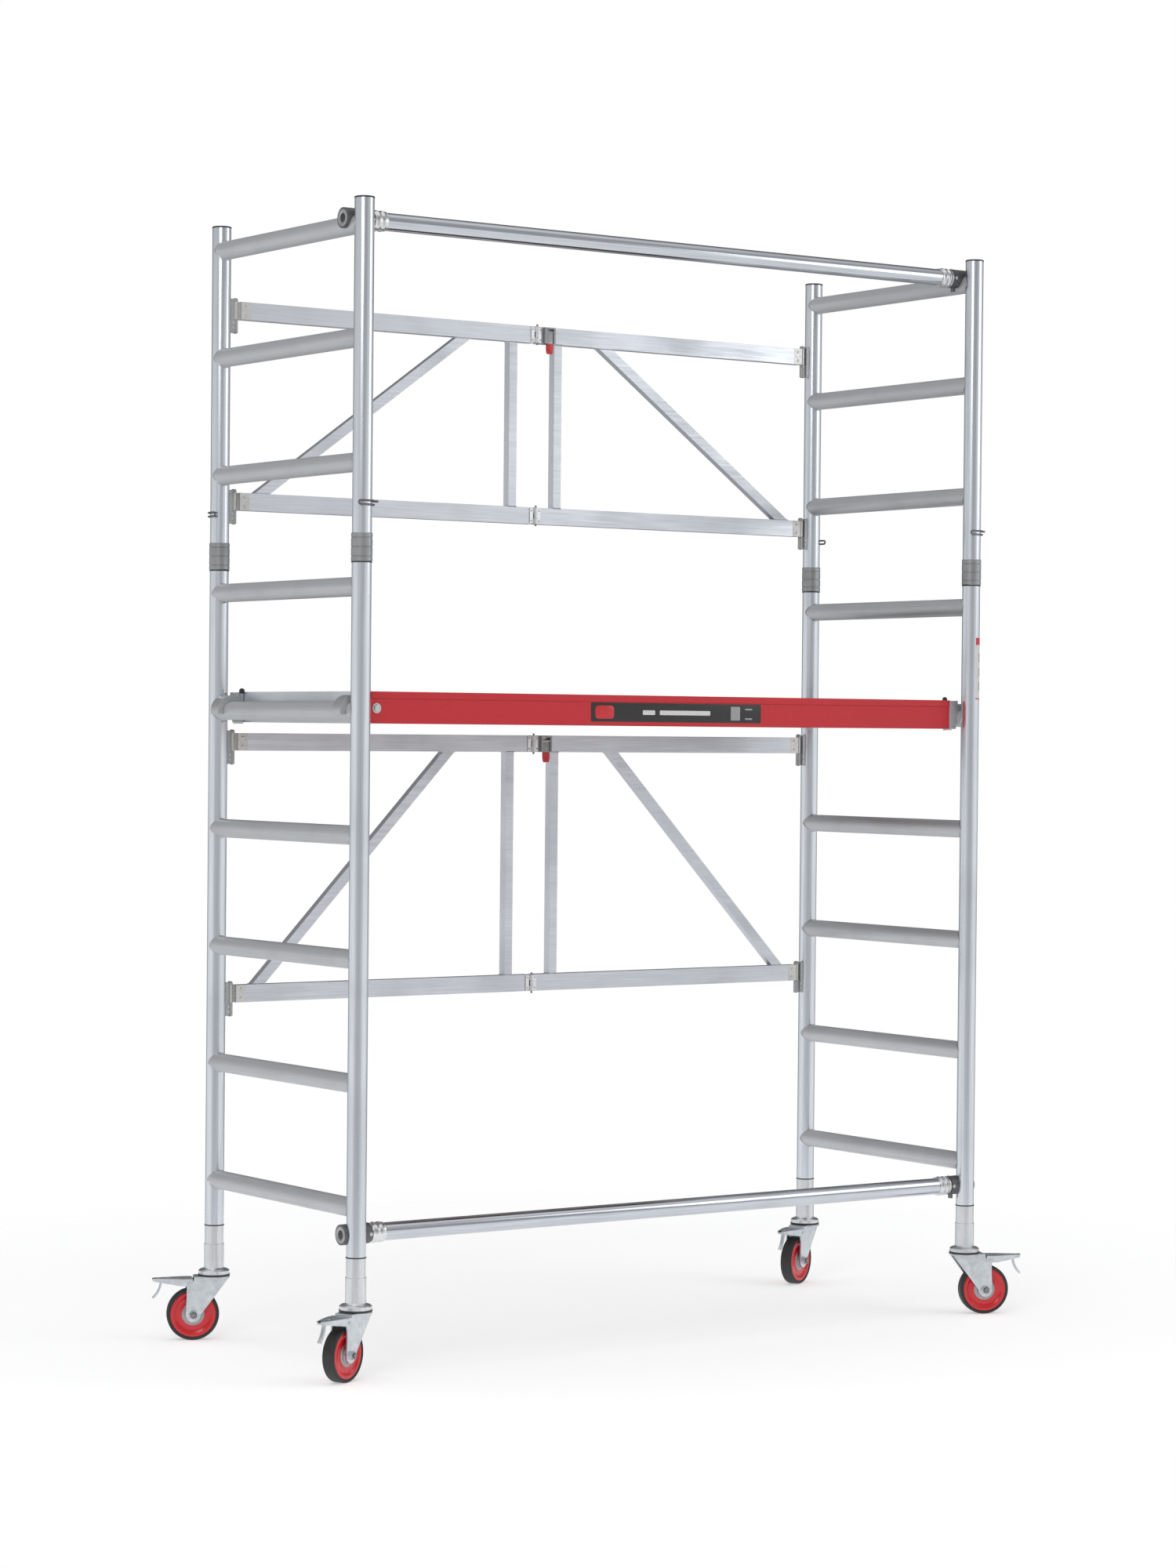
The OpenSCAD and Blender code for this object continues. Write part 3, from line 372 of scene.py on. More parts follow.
collar_low, collar_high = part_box("joint_collars")
collar_r = (collar_high.y - collar_low.y) / 2 - back_y
collar_bore = upright_r - 0.0022
collar_h = collar_high.z - collar_low.z
groove = 0.0011
collar_profile = [(collar_bore, 0.0), (collar_r - 0.0012, 0.0), (collar_r, 0.0016)]
for share in (0.17, 0.50, 0.83):
    middle = share * collar_h
    collar_profile += [(collar_r, middle - 0.0014), (collar_r - groove, middle - 0.0008),
                       (collar_r - groove, middle + 0.0008), (collar_r, middle + 0.0014)]
collar_profile += [(collar_r, collar_h - 0.0016), (collar_r - 0.0012, collar_h), (collar_bore, collar_h)]
collar_grey = finish("collar_grey", (0.40, 0.41, 0.42), (0.33, 0.34, 0.35), 0.65, (0.30, 0.42),
                     (260, 260, 30), 0.00003)
add_piece("collar_rings", [lathe(collar_profile, (x, y, collar_z), closed=True) for x, y in corners.values()],
          collar_grey, "tower", "collar_grey", "joint_collars")
seal_rubber = finish("seal_rubber", (0.035, 0.035, 0.037), (0.06, 0.06, 0.06), 0.0, (0.45, 0.65),
                     (200, 200, 200),
                     0.00004)


def seal_ring(x, y, z, r, h):
    """A thin band round an upright with rounded edges."""
    return lathe([(upright_r - 0.001, 0), (r - 0.0005, 0), (r, 0.0005), (r, h - 0.0005), (r - 0.0005, h),
                  (upright_r - 0.001, h)], (x, y, z), closed=True)


add_piece("joint_seals", [seal_ring(x, y, z, upright_r + 0.0012, 0.003)
                          for x, y in corners.values() for z in (collar_z - 0.003, foot_z - 0.0015)],
          seal_rubber, "tower", "black_plastic")


def dome(centre, axis, r, rise, foot=0.0):
    """A rivet head: a cap of radius r that rises in a circle's arc, on a short foot sunk in the surface."""
    t = np.linspace(0, math.pi / 2, 7)
    return lathe(np.vstack([[0, -foot], [r, -foot], np.column_stack([r * np.cos(t), rise * np.sin(t)])]),
                 centre, axis, 20)


button_metal = finish("button_metal", (0.45, 0.46, 0.47), (0.30, 0.31, 0.32), 1.0, (0.25, 0.4),
                      (300, 300, 300))
add_piece("snap_buttons", [dome((x + upright_r * (y < 0), y + upright_r * (y > 0), z + 0.030),
                                (float(y < 0), float(y > 0), 0), 0.0038, 0.0022, 0.004)
                           for x, y in corners.values() for z in (foot_z, joint_z)],
          button_metal, "tower", "dark_steel")


# Locking clips: spring wire that snaps round an upright, with its pin through both tubes. The wire
# is one length: it bends round the tube, folds back below itself, and meets the pin's finger eye.
clip_wire = finish("clip_wire", (0.22, 0.22, 0.23), (0.14, 0.14, 0.15), 0.9, (0.2, 0.34), (300, 300, 300))
clip_wire_r = 0.0022
pin_r = 0.0036
fold_r = 0.0045
clip_tail = 0.020
skyward = np.array([0, 0, 1.0])
for corner, (x, y) in corners.items():
    low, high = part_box("lock_clip_" + corner)
    clip_at = np.array([x, y, (low.z + high.z) / 2])
    out = np.array([1.0, 0, 0]) if y < 0 else np.array([0, 1.0, 0])
    wrap = 1 if corner == "bl" else -1
    side = wrap * np.array([-out[1], out[0], 0])
    pull = (high.x if y < 0 else high.y) - (x if y < 0 else y) - 0.0032
    ring = upright_r + 0.004
    bend = np.linspace(0, math.pi / 2, 13)
    local = np.vstack([[[-clip_tail, ring]], np.column_stack([ring * np.sin(bend), ring * np.cos(bend)])])
    path = clip_at + local[:, :1] * out + local[:, 1:] * side
    # the fold is a half circle below the tail, straight down in its middle, so up turns along with it
    fold = np.linspace(0, math.pi, 13)[1:-1, None]
    turn_back = path[0] - fold_r * np.sin(fold) * out - fold_r * (1 - np.cos(fold)) * skyward
    wire = np.concatenate([path[::-1], turn_back, path - (0, 0, 2 * fold_r)])
    along_top = np.repeat(skyward[None], len(path), 0)
    wire_up = np.concatenate([along_top, np.cos(fold) * skyward - np.sin(fold) * out, -along_top])
    pin = clip_at + np.array([[0.012], [upright_r], [pull - 0.008]]) * out
    pin_section = circle(pin_r, 20)[None] * np.array([1.0, 1.0, 0.55])[:, None, None]
    eye = np.linspace(0, 2 * math.pi, 25)[:-1]
    eye_path = (clip_at + (pull - fold_r + fold_r * np.cos(eye))[:, None] * out
                + (fold_r * np.sin(eye))[:, None] * side)
    clip_parts = [sweep(wire, circle(clip_wire_r), up=wire_up), sweep(pin, pin_section),
                  sweep(eye_path, circle(clip_wire_r), closed=True)]
    add_piece("clip_" + corner, clip_parts, clip_wire, "lock_clip_" + corner, "dark_steel",
              "lock_clip_" + corner)


# Top caps: black moulded plugs with a rounded brim that close the uprights.
cap_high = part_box("top_caps")[1]
cap_r = cap_high.y - back_y
cap_t = cap_high.z - top_z
round_off = np.linspace(0, math.pi / 2, 6)
cap_profile = np.vstack([[[0, -0.016], [upright_r - 0.0021, -0.016], [upright_r - 0.0021, 0], [cap_r, 0]],
                         np.column_stack([cap_r - 0.002 + 0.002 * np.cos(round_off),
                                          cap_t - 0.002 + 0.002 * np.sin(round_off)]),
                         [[cap_r * 0.55, cap_t], [cap_r * 0.5, cap_t - 0.0009], [0, cap_t - 0.0009]]])
moulded_black = finish("moulded_black", (0.02, 0.02, 0.022), (0.045, 0.045, 0.05), 0.0, (0.36, 0.52),
                       (500, 500, 500), 0.00006)
add_piece("cap_plugs", [lathe(cap_profile, (x, y, top_z)) for x, y in corners.values()],
          moulded_black, "tower", "black_plastic", "top_caps")


# Back frames: folding frames of mill finish rectangular tube in each storey, welded at the corners,
# with solid end blocks, cast hinge brackets on the uprights and a bright hinge in the middle.
mill_tube = finish("mill_tube", (0.70, 0.73, 0.78), (0.60, 0.63, 0.68), 0.85, (0.28, 0.42), (8, 300, 300),
                   0.00003,
                   smear=0.3, smear_size=4.0, edge=0.0008)
coat_node(mill_tube, "lower_left_gate", "lower_right_gate", "upper_left_gate", "upper_right_gate")
end_block_metal = finish("end_block_metal", (0.70, 0.70, 0.69), (0.60, 0.60, 0.59), 0.8, (0.34, 0.48),
                         (200, 200, 200), 0.00006, edge=0.0012)
coat_node(end_block_metal, "gate_end_blocks")
cast_metal = finish("cast_metal", (0.50, 0.51, 0.52), (0.38, 0.39, 0.40), 0.85, (0.42, 0.58), (420, 420, 420),
                    0.00022,
                    edge=0.0012, specks=260.0)
coat_node(cast_metal, "hinge_brackets", "latch_housings")
pin_steel = finish("pin_steel", (0.34, 0.34, 0.35), (0.22, 0.22, 0.23), 1.0, (0.3, 0.45), (400, 400, 40),
                   0.00002)
coat_node(pin_steel, "hinge_pins")
bright_leaf = finish("bright_leaf", (0.82, 0.83, 0.84), (0.70, 0.71, 0.72), 1.0, (0.22, 0.36), (60, 400, 400),
                     0.00002, edge=0.0006)
coat_node(bright_leaf, "mid_hinge_leaves")
gate_bars = []
gate_rivets = []
gate_face_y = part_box("lower_left_gate")[0].y
bar_half = 0.021
for storey in ("lower", "upper"):
    low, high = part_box(f"{storey}_left_gate")
    gate_bars += [low.z + bar_half, high.z - bar_half]
block_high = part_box("gate_end_blocks")[1]
hinge_x = block_high.x - 0.0065
for z in gate_bars:
    for side in (-1, 1):
        gate_rivets += [dome((side * (hinge_x - 0.023), gate_face_y, z + dz), (0, -1, 0), 0.0034, 0.0016,
                             0.001)
                        for dz in (-0.011, 0.011)]
        gate_rivets += [dome((side * 0.0115, gate_face_y - 0.0025, z + dz), (0, -1, 0), 0.0026, 0.0013, 0.001)
                        for dz in (-0.013, 0.013)]
        gate_rivets += [dome((side * (right_x - 0.028), back_y - 0.009, z + dz), (0, -1, 0), 0.003, 0.0015,
                             0.001)
                        for dz in (-0.042, -0.030)]
rivet_metal = finish("rivet_metal", (0.72, 0.73, 0.74), (0.56, 0.57, 0.58), 1.0, (0.28, 0.42),
                     (300, 300, 300))
add_piece("frame_rivets", gate_rivets, rivet_metal, "tower", "cast_aluminium")


def fillet_weld(corner_points, r, up):
    """A bead along the straight lines between corner points, its radius rippled along the way."""
    corner_points = np.asarray(corner_points, float)
    share = np.linspace(0, 1, 15)[:-1, None]
    ends = np.roll(corner_points, -1, 0)
    path = np.concatenate([a + (b - a) * share for a, b in zip(corner_points, ends)])
    k = np.arange(len(path))
    ripple = 1 + 0.2 * np.sin(1.9 * k) + 0.12 * np.sin(0.7 * k)
    return sweep(path, circle(r, 8)[None] * ripple[:, None, None], closed=True, up=up)


frame_welds = []
post, reach = 0.068, 0.0115
strut_half = 0.0125
for storey, head in (("lower", 0.250), ("upper", 0.215)):
    low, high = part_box(f"{storey}_right_gate")
    under, over = low.z + 2 * bar_half, high.z - 2 * bar_half
    foot = right_x - 0.110
    slant = strut_half / math.sin(math.atan2(over - under, foot - head))
    for side in (-1, 1):
        for z in (under, over):
            frame_welds.append(fillet_weld([(side * (post + u * reach), back_y + v * reach, z)
                                            for u, v in ((-1, -1), (1, -1), (1, 1), (-1, 1))], 0.0018,
                                           (0, 0, 1)))
            middle = foot if z == under else head
            frame_welds.append(fillet_weld([(side * (middle + u * slant), back_y + v * 0.010, z)
                                            for u, v in ((-1, -1), (1, -1), (1, 1), (-1, 1))], 0.0018,
                                           (0, 0, 1)))
add_piece("frame_welds", frame_welds, weld_metal, "tower", "frame_aluminium")


# Fold latches: red moulded tabs that hang in a cheek housing on their own pin. Each has rounded
# corners, a raised grip rib and a waist, and is lifted outwards before the frame can fold.
def rounded_outline(corner_points, radii, steps=6):
    """A polygon whose corners are replaced by arcs: each corner's arc is tangent to both its sides."""
    p = np.asarray(corner_points, float)
    radii = np.broadcast_to(radii, len(p))
    made = []
    for here, before, after, r in zip(p, np.roll(p, 1, 0), np.roll(p, -1, 0), radii):
        u, v = before - here, after - here
        u, v = u / np.linalg.norm(u), v / np.linalg.norm(v)
        half = math.acos(max(-1.0, min(1.0, float(u @ v)))) / 2
        cut = r / math.tan(half)
        middle = here + (u + v) / np.linalg.norm(u + v) * r / math.sin(half)
        start, end = here + u * cut - middle, here + v * cut - middle
        t = np.linspace(0, 1, steps + 1)[:, None]
        arc = start * (1 - t) + end * t
        made.append(middle + arc / np.linalg.norm(arc, axis=1)[:, None] * r)
    return np.concatenate(made)


def slab(outline, thickness, edge, origin, first, second):
    """An outline raised to a thickness along first x second, its rim rounded by an edge radius: the
    outline is drawn in by edge (1 - cos t) while the height rises by edge (1 - sin t), at both faces."""
    outline = np.asarray(outline, float)
    first, second = np.asarray(first, float), np.asarray(second, float)
    normal = np.cross(first, second)
    nxt, prv = np.roll(outline, -1, 0), np.roll(outline, 1, 0)
    tangent = nxt - prv
    tangent /= np.maximum(np.linalg.norm(tangent, axis=1), 1e-12)[:, None]
    area = 0.5 * np.sum(outline[:, 0] * nxt[:, 1] - nxt[:, 0] * outline[:, 1])
    inward = np.column_stack([-tangent[:, 1], tangent[:, 0]]) * (1 if area > 0 else -1)
    t = np.linspace(0, math.pi / 2, 4)
    inset = edge * (1 - np.sin(t))
    height = edge * (1 - np.cos(t))
    inset, height = np.r_[inset, inset[::-1]], np.r_[height, thickness - height[::-1]]
    layers = outline[None] + inward[None] * inset[:, None, None]
    points = (np.asarray(origin, float) + layers[..., :1] * first + layers[..., 1:] * second
              + height[:, None, None] * normal)
    n, k = len(inset), len(outline)
    return points.reshape(-1, 3), grid_faces(n, k, False, True), end_caps(n, k)


red_tab = finish("red_tab", (0.72, 0.010, 0.020), (0.60, 0.008, 0.016), 0.0, (0.26, 0.38), (90, 90, 90),
                 0.00003,
                 smear=0.15, coat=0.3)
for storey in ("lower", "upper"):
    low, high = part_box(storey + "_fold_latch")
    middle_x, middle_y = (low.x + high.x) / 2, (low.y + high.y) / 2
    pivot_z = high.z - 0.0035
    half, thick, pin_half = 0.0105, 0.005, 0.0152
    split = low.z + 0.026
    outline = rounded_outline([(-half, split), (-half, low.z + 0.012), (-half * 0.8, low.z),
                               (half * 0.8, low.z),
                               (half, low.z + 0.012), (half, split)],
                              [0.001, 0.008, 0.004, 0.004, 0.008, 0.001])
    arm = rounded_outline([(-half * 0.9, high.z), (-half * 0.9, split - 0.001), (half * 0.9, split - 0.001),
                           (half * 0.9, high.z)], [0.003, 0.0005, 0.0005, 0.003])
    tab = [slab(outline, thick, 0.0012, (middle_x, middle_y + thick / 2, 0), (1, 0, 0), (0, 0, 1))]
    for rise in (0.006, 0.011, 0.016):
        rib = rounded_outline([(-0.0065, -0.0011), (0.0065, -0.0011), (0.0065, 0.0011), (-0.0065, 0.0011)],
                              0.001, 4)
        tab.append(slab(rib, 0.0014, 0.0005, (middle_x, middle_y - thick / 2 + 0.0004, low.z + rise),
                        (1, 0, 0), (0, 0, 1)))
    pivot = [(0, -pin_half), (0.002, -pin_half), (0.002, -half), (0.0036, -half), (0.0036, half),
             (0.002, half),
             (0.002, pin_half), (0, pin_half)]
    arm_parts = [slab(arm, thick - 0.001, 0.0006, (middle_x, middle_y + thick / 2 - 0.0005, 0), (1, 0, 0),
                      (0, 0, 1)),
                 lathe(pivot, (middle_x, middle_y, pivot_z), (1, 0, 0), 24)]
    add_piece(storey + "_latch_tab", tab, red_tab, storey + "_latch", "red_plastic", storey + "_fold_latch")
    add_piece(storey + "_latch_arm", arm_parts, cast_metal, storey + "_latch", "cast_aluminium")


# Front braces: polished round tubes crimped on to cast claws that hook the top rungs and clip the
# foot of the uprights. Each crimp shows two raised bright bands next to the dull casting.
polished = finish("polished_brace", (0.66, 0.69, 0.74), (0.54, 0.57, 0.62), 1.0, (0.10, 0.20), (6, 380, 380),
                  0.00001,
                  smear=0.2, smear_size=6.0)
coat_node(polished, "brace_tubes")
dull_casting = finish("dull_casting", (0.20, 0.20, 0.205), (0.13, 0.13, 0.135), 0.7, (0.38, 0.55),
                      (380, 380, 380),
                      0.0003, edge=0.0015, specks=240.0)
coat_node(dull_casting, "brace_claws")
brace_low, brace_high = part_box("brace_tubes")
brace_r = 0.0205
brace_end = brace_high.x
claw_lines = [(brace_high.y - brace_r, brace_high.z - brace_r),
              (brace_low.y + brace_r, brace_low.z + brace_r)]
sleeve_l = 0.036
sleeve_profile = [(brace_r - 0.001, 0.0), (brace_r + 0.0012, 0.0), (brace_r + 0.002, 0.001)]
for share in (0.30, 0.68):
    u = share * sleeve_l
    swell = np.linspace(0, math.pi, 7)
    sleeve_profile += [(brace_r + 0.0020 + 0.0016 * math.sin(s), u - 0.004 + 0.008 * s / math.pi)
                       for s in swell]
sleeve_profile += [(brace_r + 0.0020, sleeve_l - 0.001), (brace_r + 0.0012, sleeve_l),
                   (brace_r - 0.001, sleeve_l)]
sleeves = []
for y, z in claw_lines:
    for side in (-1, 1):
        sleeves.append(lathe(sleeve_profile, (side * (brace_end - 0.001), y, z), (side, 0, 0), 64,
                             closed=True))
add_piece("crimp_sleeves", sleeves, bright_leaf, "tower", "brace_aluminium")
claw_bolts = []
for y, z in claw_lines:
    for side in (-1, 1):
        claw_bolts.append(dome((side * (right_x - 0.038), y - 0.0232, z), (0, -1, 0), 0.0045, 0.0022, 0.002))
        claw_bolts.append(dome((side * (right_x - 0.038), y, z + 0.0232), (0, 0, 1), 0.0035, 0.0016, 0.002))
add_piece("claw_rivets", claw_bolts, rivet_metal, "tower", "cast_aluminium")
claw_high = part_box("brace_claws")[1]
rim = [(0.0105, -0.001), (0.0195, -0.001), (0.0195, 0.0006), (0.0180, 0.0018), (0.0130, 0.0018),
       (0.0105, 0.0002)]
# Painted shade: the mouth is a flat black disc inside each claw end's rim, standing for the dark hollow of
# the claw's open end.
mouth = [(0, -0.001), (0.0100, -0.001), (0.0100, 0.0002), (0.0085, 0.0006), (0, 0.0001)]
claw_ends = [(side * claw_high.x, y, z) for y, z in claw_lines for side in (-1, 1)]
add_piece("claw_rims", [lathe(rim, at, (np.sign(at[0]), 0, 0), 40, closed=True) for at in claw_ends],
          cast_metal, "tower", "cast_aluminium")
add_piece("claw_mouth_painted_shade", [lathe(mouth, at, (np.sign(at[0]), 0, 0), 32) for at in claw_ends],
          moulded_black, "tower", "cast_aluminium")
trigger_steel = finish("trigger_steel", (0.25, 0.25, 0.26), (0.16, 0.16, 0.17), 0.9, (0.3, 0.46),
                       (260, 260, 260),
                       0.00005, edge=0.0008)
coat_node(trigger_steel, "claw_catch_top_left", "claw_catch_top_right", "claw_catch_bottom_left",
          "claw_catch_bottom_right")


# Platform: two folded beams in red powder coat, cast corner hooks that sit over the rungs, box end
# rails and cross members. A blank black plate is riveted to the front beam.
red_beam = finish("red_powder_coat", (0.66, 0.016, 0.028), (0.57, 0.012, 0.022), 0.0, (0.42, 0.55),
                  (420, 420, 420),
                  0.00008, smear=0.12, smear_size=3.0, edge=0.0007, coat=0.08)
coat_node(red_beam, "side_beams")
silver_casting = finish("silver_casting", (0.66, 0.67, 0.67), (0.52, 0.53, 0.54), 0.85, (0.36, 0.5),
                        (420, 420, 420),
                        0.0002, edge=0.0012, specks=230.0)
coat_node(silver_casting, "rung_hooks")
coat_node(mill_tube, "end_rails", "cross_members")
zinc_flat = finish("zinc_flat", (0.66, 0.69, 0.71), (0.52, 0.55, 0.58), 0.95, (0.26, 0.42), (120, 120, 120),
                   0.00003,
                   edge=0.0008)
coat_node(zinc_flat, "wind_lock_left", "wind_lock_right", "hatch_hinge_leaves")
beam_low, beam_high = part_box("side_beams")
beam_face = beam_low.y + 0.0015
black_plate = finish("black_plate", (0.018, 0.018, 0.02), (0.03, 0.03, 0.032), 0.0, (0.28, 0.4),
                     (200, 200, 200), 0.00002)
plate_left, plate_right = -0.248, 0.256
plate_bottom, plate_top = beam_low.z + 0.009, beam_low.z + 0.054


def beam_patch(name, x0, x1, z0, z1, lift, material, slot, r=0.003):
    """A thin rounded plate on the front beam's face."""
    outline = rounded_outline([(x0, z0), (x1, z0), (x1, z1), (x0, z1)], r, 5)
    return add_piece(name, [slab(outline, 0.0006, 0.0002, (0, beam_face - lift, 0), (1, 0, 0), (0, 0, 1))],
                     material, "tower", slot)


# slab's thickness runs along first x second, which is -Y here, so lift is the plate's inner face
beam_patch("blank_plate", plate_left, plate_right, plate_bottom, plate_top, -0.0001, black_plate,
           "black_plastic")
plate_grey = finish("plate_grey", (0.42, 0.42, 0.43), (0.34, 0.34, 0.35), 0.0, (0.4, 0.5), (200, 200, 200),
                    0.00002)
plate_white = finish("plate_white", (0.78, 0.78, 0.78), (0.70, 0.70, 0.70), 0.0, (0.4, 0.5), (200, 200, 200),
                     0.00002)
beam_patch("plate_red_field", plate_left + 0.012, plate_left + 0.066, plate_bottom + 0.007, plate_top - 0.007,
           0.0004, red_tab, "red_plastic", 0.008)
beam_patch("plate_grey_field", plate_right - 0.092, plate_right - 0.064, plate_bottom + 0.006,
           plate_top - 0.006,
           0.0004, plate_grey, "black_plastic", 0.002)
half_way = 0.0225
for n, (start, width, h, rise, paint) in enumerate((
        (0.150, 0.036, 0.011, 0.0, plate_white), (0.200, 0.150, 0.011, 0.0, plate_white),
        (0.455, 0.022, 0.004, 0.010 - half_way, plate_grey), (0.455, 0.022, 0.004, 0.033 - half_way,
                                                              plate_grey))):
    beam_patch(f"plate_bar_{n}", plate_left + start, plate_left + start + width,
               plate_bottom + half_way - h / 2 + rise,
               plate_bottom + half_way + h / 2 + rise, 0.0004, paint, "black_plastic", 0.0018)


# Painted shade: a dark red line swept along each beam face at its groove, darker than the beam's own red
# powder coat, standing for the shade in the groove.
groove_painted_shade = finish("groove_painted_shade", (0.24, 0.008, 0.014), (0.18, 0.006, 0.010), 0.0, (0.5, 0.6),
                     (300, 300, 300))
groove_z = beam_high.z - 0.0165
groove_run = np.array([[beam_low.x + 0.004, 0, groove_z], [0.0, 0, groove_z],
                       [beam_high.x - 0.004, 0, groove_z]])
add_piece("beam_groove_shade_lines", [sweep(groove_run + (0, end * (abs(beam_face) - 0.0004), 0), circle(0.0007, 8))
                           for end in (-1, 1)], groove_painted_shade, "tower", "red_plastic")


def hex_bolt(centre, axis, r, h):
    """A bolt head: a washer, then a hexagon whose rim is chamfered, with a slight dish on top."""
    washer = lathe([(0, 0), (r * 1.35, 0), (r * 1.35, 0.001), (0, 0.001)], centre, axis, 28)
    head = lathe([(0, 0.001), (r, 0.001), (r, h - 0.0008), (r - 0.0009, h), (r * 0.5, h),
                  (r * 0.45, h - 0.0004),
                  (0, h - 0.0004)], centre, axis, 6)
    return [washer, head]


bolt_in, bolt_up, bolt_r, bolt_h = 0.016, 0.034, 0.0085, 0.0055
beam_bolts = hex_bolt((beam_low.x + bolt_in, beam_face, beam_low.z + bolt_up), (0, -1, 0), bolt_r, bolt_h)
beam_bolts += hex_bolt((beam_high.x - bolt_in, -beam_face, beam_low.z + bolt_up), (0, 1, 0), bolt_r, bolt_h)
add_piece("beam_fixings", beam_bolts, rivet_metal, "tower", "cast_aluminium")
for side in ("left", "right"):
    low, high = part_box("wind_lock_" + side)
    knob_x = (low.x + 0.0045) if side == "right" else (high.x - 0.0045)
    knob_z, middle_y = high.z - 0.0045, (low.y + high.y) / 2
    out = 1.0 if side == "left" else -1.0
    grip = [(0, -0.0026), (0.0058, -0.0026), (0.0066, -0.0018), (0.0066, 0.002), (0.0058, 0.003), (0, 0.003)]
    add_piece(f"wind_lock_{side}_grip", [lathe(grip, (knob_x, middle_y, knob_z), (0, -out, 0), 40)],
              moulded_black, "wind_lock_" + side, "black_plastic")


# Deck: phenolic faced plywood, dark brown, with a fine wire mesh pattern pressed into its surface,
# and a trapdoor in the same board on two butt hinges, with a finger hole in a metal ring.
def mesh_ply(name, colour, tint, cell):
    """Film faced board: a square mesh from the larger of two sine waves stands proud, and the film's colour
    wanders with a coarse noise."""
    made = finish(name, colour, tint, 0.0, (0.38, 0.55), (30, 120, 120), 0.00005, smear=0.35, smear_size=6.0)
    tree = made.node_tree
    shader = tree.nodes["Principled BSDF"]
    way = new_node(tree, "TexCoord")
    waves = [new_node(tree, "TexWave", {"bands_direction": axis, "wave_profile": "SIN"}, Scale=cell)
             for axis in "XY"]
    top = new_node(tree, "Math", {"operation": "MAXIMUM"})
    step = new_node(tree, "MapRange", i1=0.82, i2=0.98)
    press = new_node(tree, "Bump", Strength=0.6, Distance=0.0003)
    under = next(n for n in tree.nodes if n.bl_idname == "ShaderNodeBump")
    link_nodes(tree, *[(way, "Object", w, 0) for w in waves], (waves[0], 1, top, 0), (waves[1], 1, top, 1),
               (top, 0, step, 0), (step, 0, press, "Height"), (under, 0, press, "Normal"),
               (press, 0, shader, "Normal"))
    return made


deck_ply = mesh_ply("deck_ply", (0.105, 0.062, 0.038), (0.075, 0.043, 0.026), 26.0)
hatch_ply = mesh_ply("hatch_ply", (0.125, 0.074, 0.045), (0.090, 0.052, 0.031), 26.0)
coat_node(deck_ply, "deck_board")
coat_node(hatch_ply, "hatch_board")
hatch_low, hatch_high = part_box("hatch_board")
deck_low, deck_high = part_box("deck_board")
deck_z = deck_high.z
ring_x = (hatch_low.x + hatch_high.x) / 2
ring_y = -0.175
ring = [(0.0134, -0.003), (0.0134, 0.0004), (0.0142, 0.0012), (0.019, 0.0012), (0.0198, 0.0002),
        (0.014, 0.0002),
        (0.014, -0.003)]
add_piece("finger_ring", [lathe(ring, (ring_x, ring_y, deck_z), steps=48, closed=True)], zinc_flat, "hatch",
          "zinc_steel")
deck_screws = []
for x in np.linspace(deck_low.x + 0.05, deck_high.x - 0.05, 9):
    for y in (deck_low.y + 0.014, deck_high.y - 0.014):
        deck_screws.append(dome((x, y, deck_z), (0, 0, 1), 0.0042, 0.0012, 0.001))
leaf_low, leaf_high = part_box("hatch_hinge_leaves")
for x in np.linspace(leaf_low.x + 0.008, leaf_low.x + 0.062, 2):
    for dx in (0.0, leaf_high.x - leaf_low.x - 0.070):
        deck_screws.append(dome((x + dx, leaf_high.y - 0.009, deck_z), (0, 0, 1), 0.003, 0.0011, 0.001))
add_piece("deck_screws", deck_screws, rivet_metal, "tower", "zinc_steel")


# Upright strip: a narrow generic marking strip on the right front upright, white with a red top,
# laid round the tube as part of a cylinder a quarter of a millimetre proud.
def tube_patch(x, y, z0, z1, a0, a1, proud):
    """Part of a cylinder round a vertical axis between two angles and two heights, with a thin wall."""
    a = np.linspace(a0, a1, 17)
    r_out, r_in = upright_r + proud, upright_r - 0.0002
    loop = np.concatenate([np.column_stack([r_out * np.cos(a), r_out * np.sin(a)]),
                           np.column_stack([r_in * np.cos(a[::-1]), r_in * np.sin(a[::-1])])])
    k = len(loop)
    points = np.concatenate([np.column_stack([x + loop[:, 0], y + loop[:, 1], np.full(k, z)])
                             for z in (z0, z1)])
    return points, grid_faces(2, k, False, True), end_caps(2, k)


strip_a = (math.radians(-94), math.radians(-22))
strip_low, strip_high = 1.553, 1.708
add_piece("marking_strip_white", [tube_patch(right_x, front_y, strip_low, strip_high, *strip_a, 0.00025)],
          plate_white, "tower", "red_plastic")
add_piece("marking_strip_red", [tube_patch(right_x, front_y, z0, z1, *strip_a, 0.0004)
                                for z0, z1 in ((strip_high - 0.018, strip_high),
                                               (strip_low, strip_low + 0.003))],
          red_tab, "tower", "red_plastic")
add_piece("marking_strip_bars", [tube_patch(right_x, front_y, strip_low + rise, strip_low + rise + 0.022,
                                            strip_a[0] + 0.45, strip_a[1] - 0.45, 0.0004)
                                 for rise in (0.022, 0.058, 0.094)],
          plate_grey, "tower", "black_plastic")


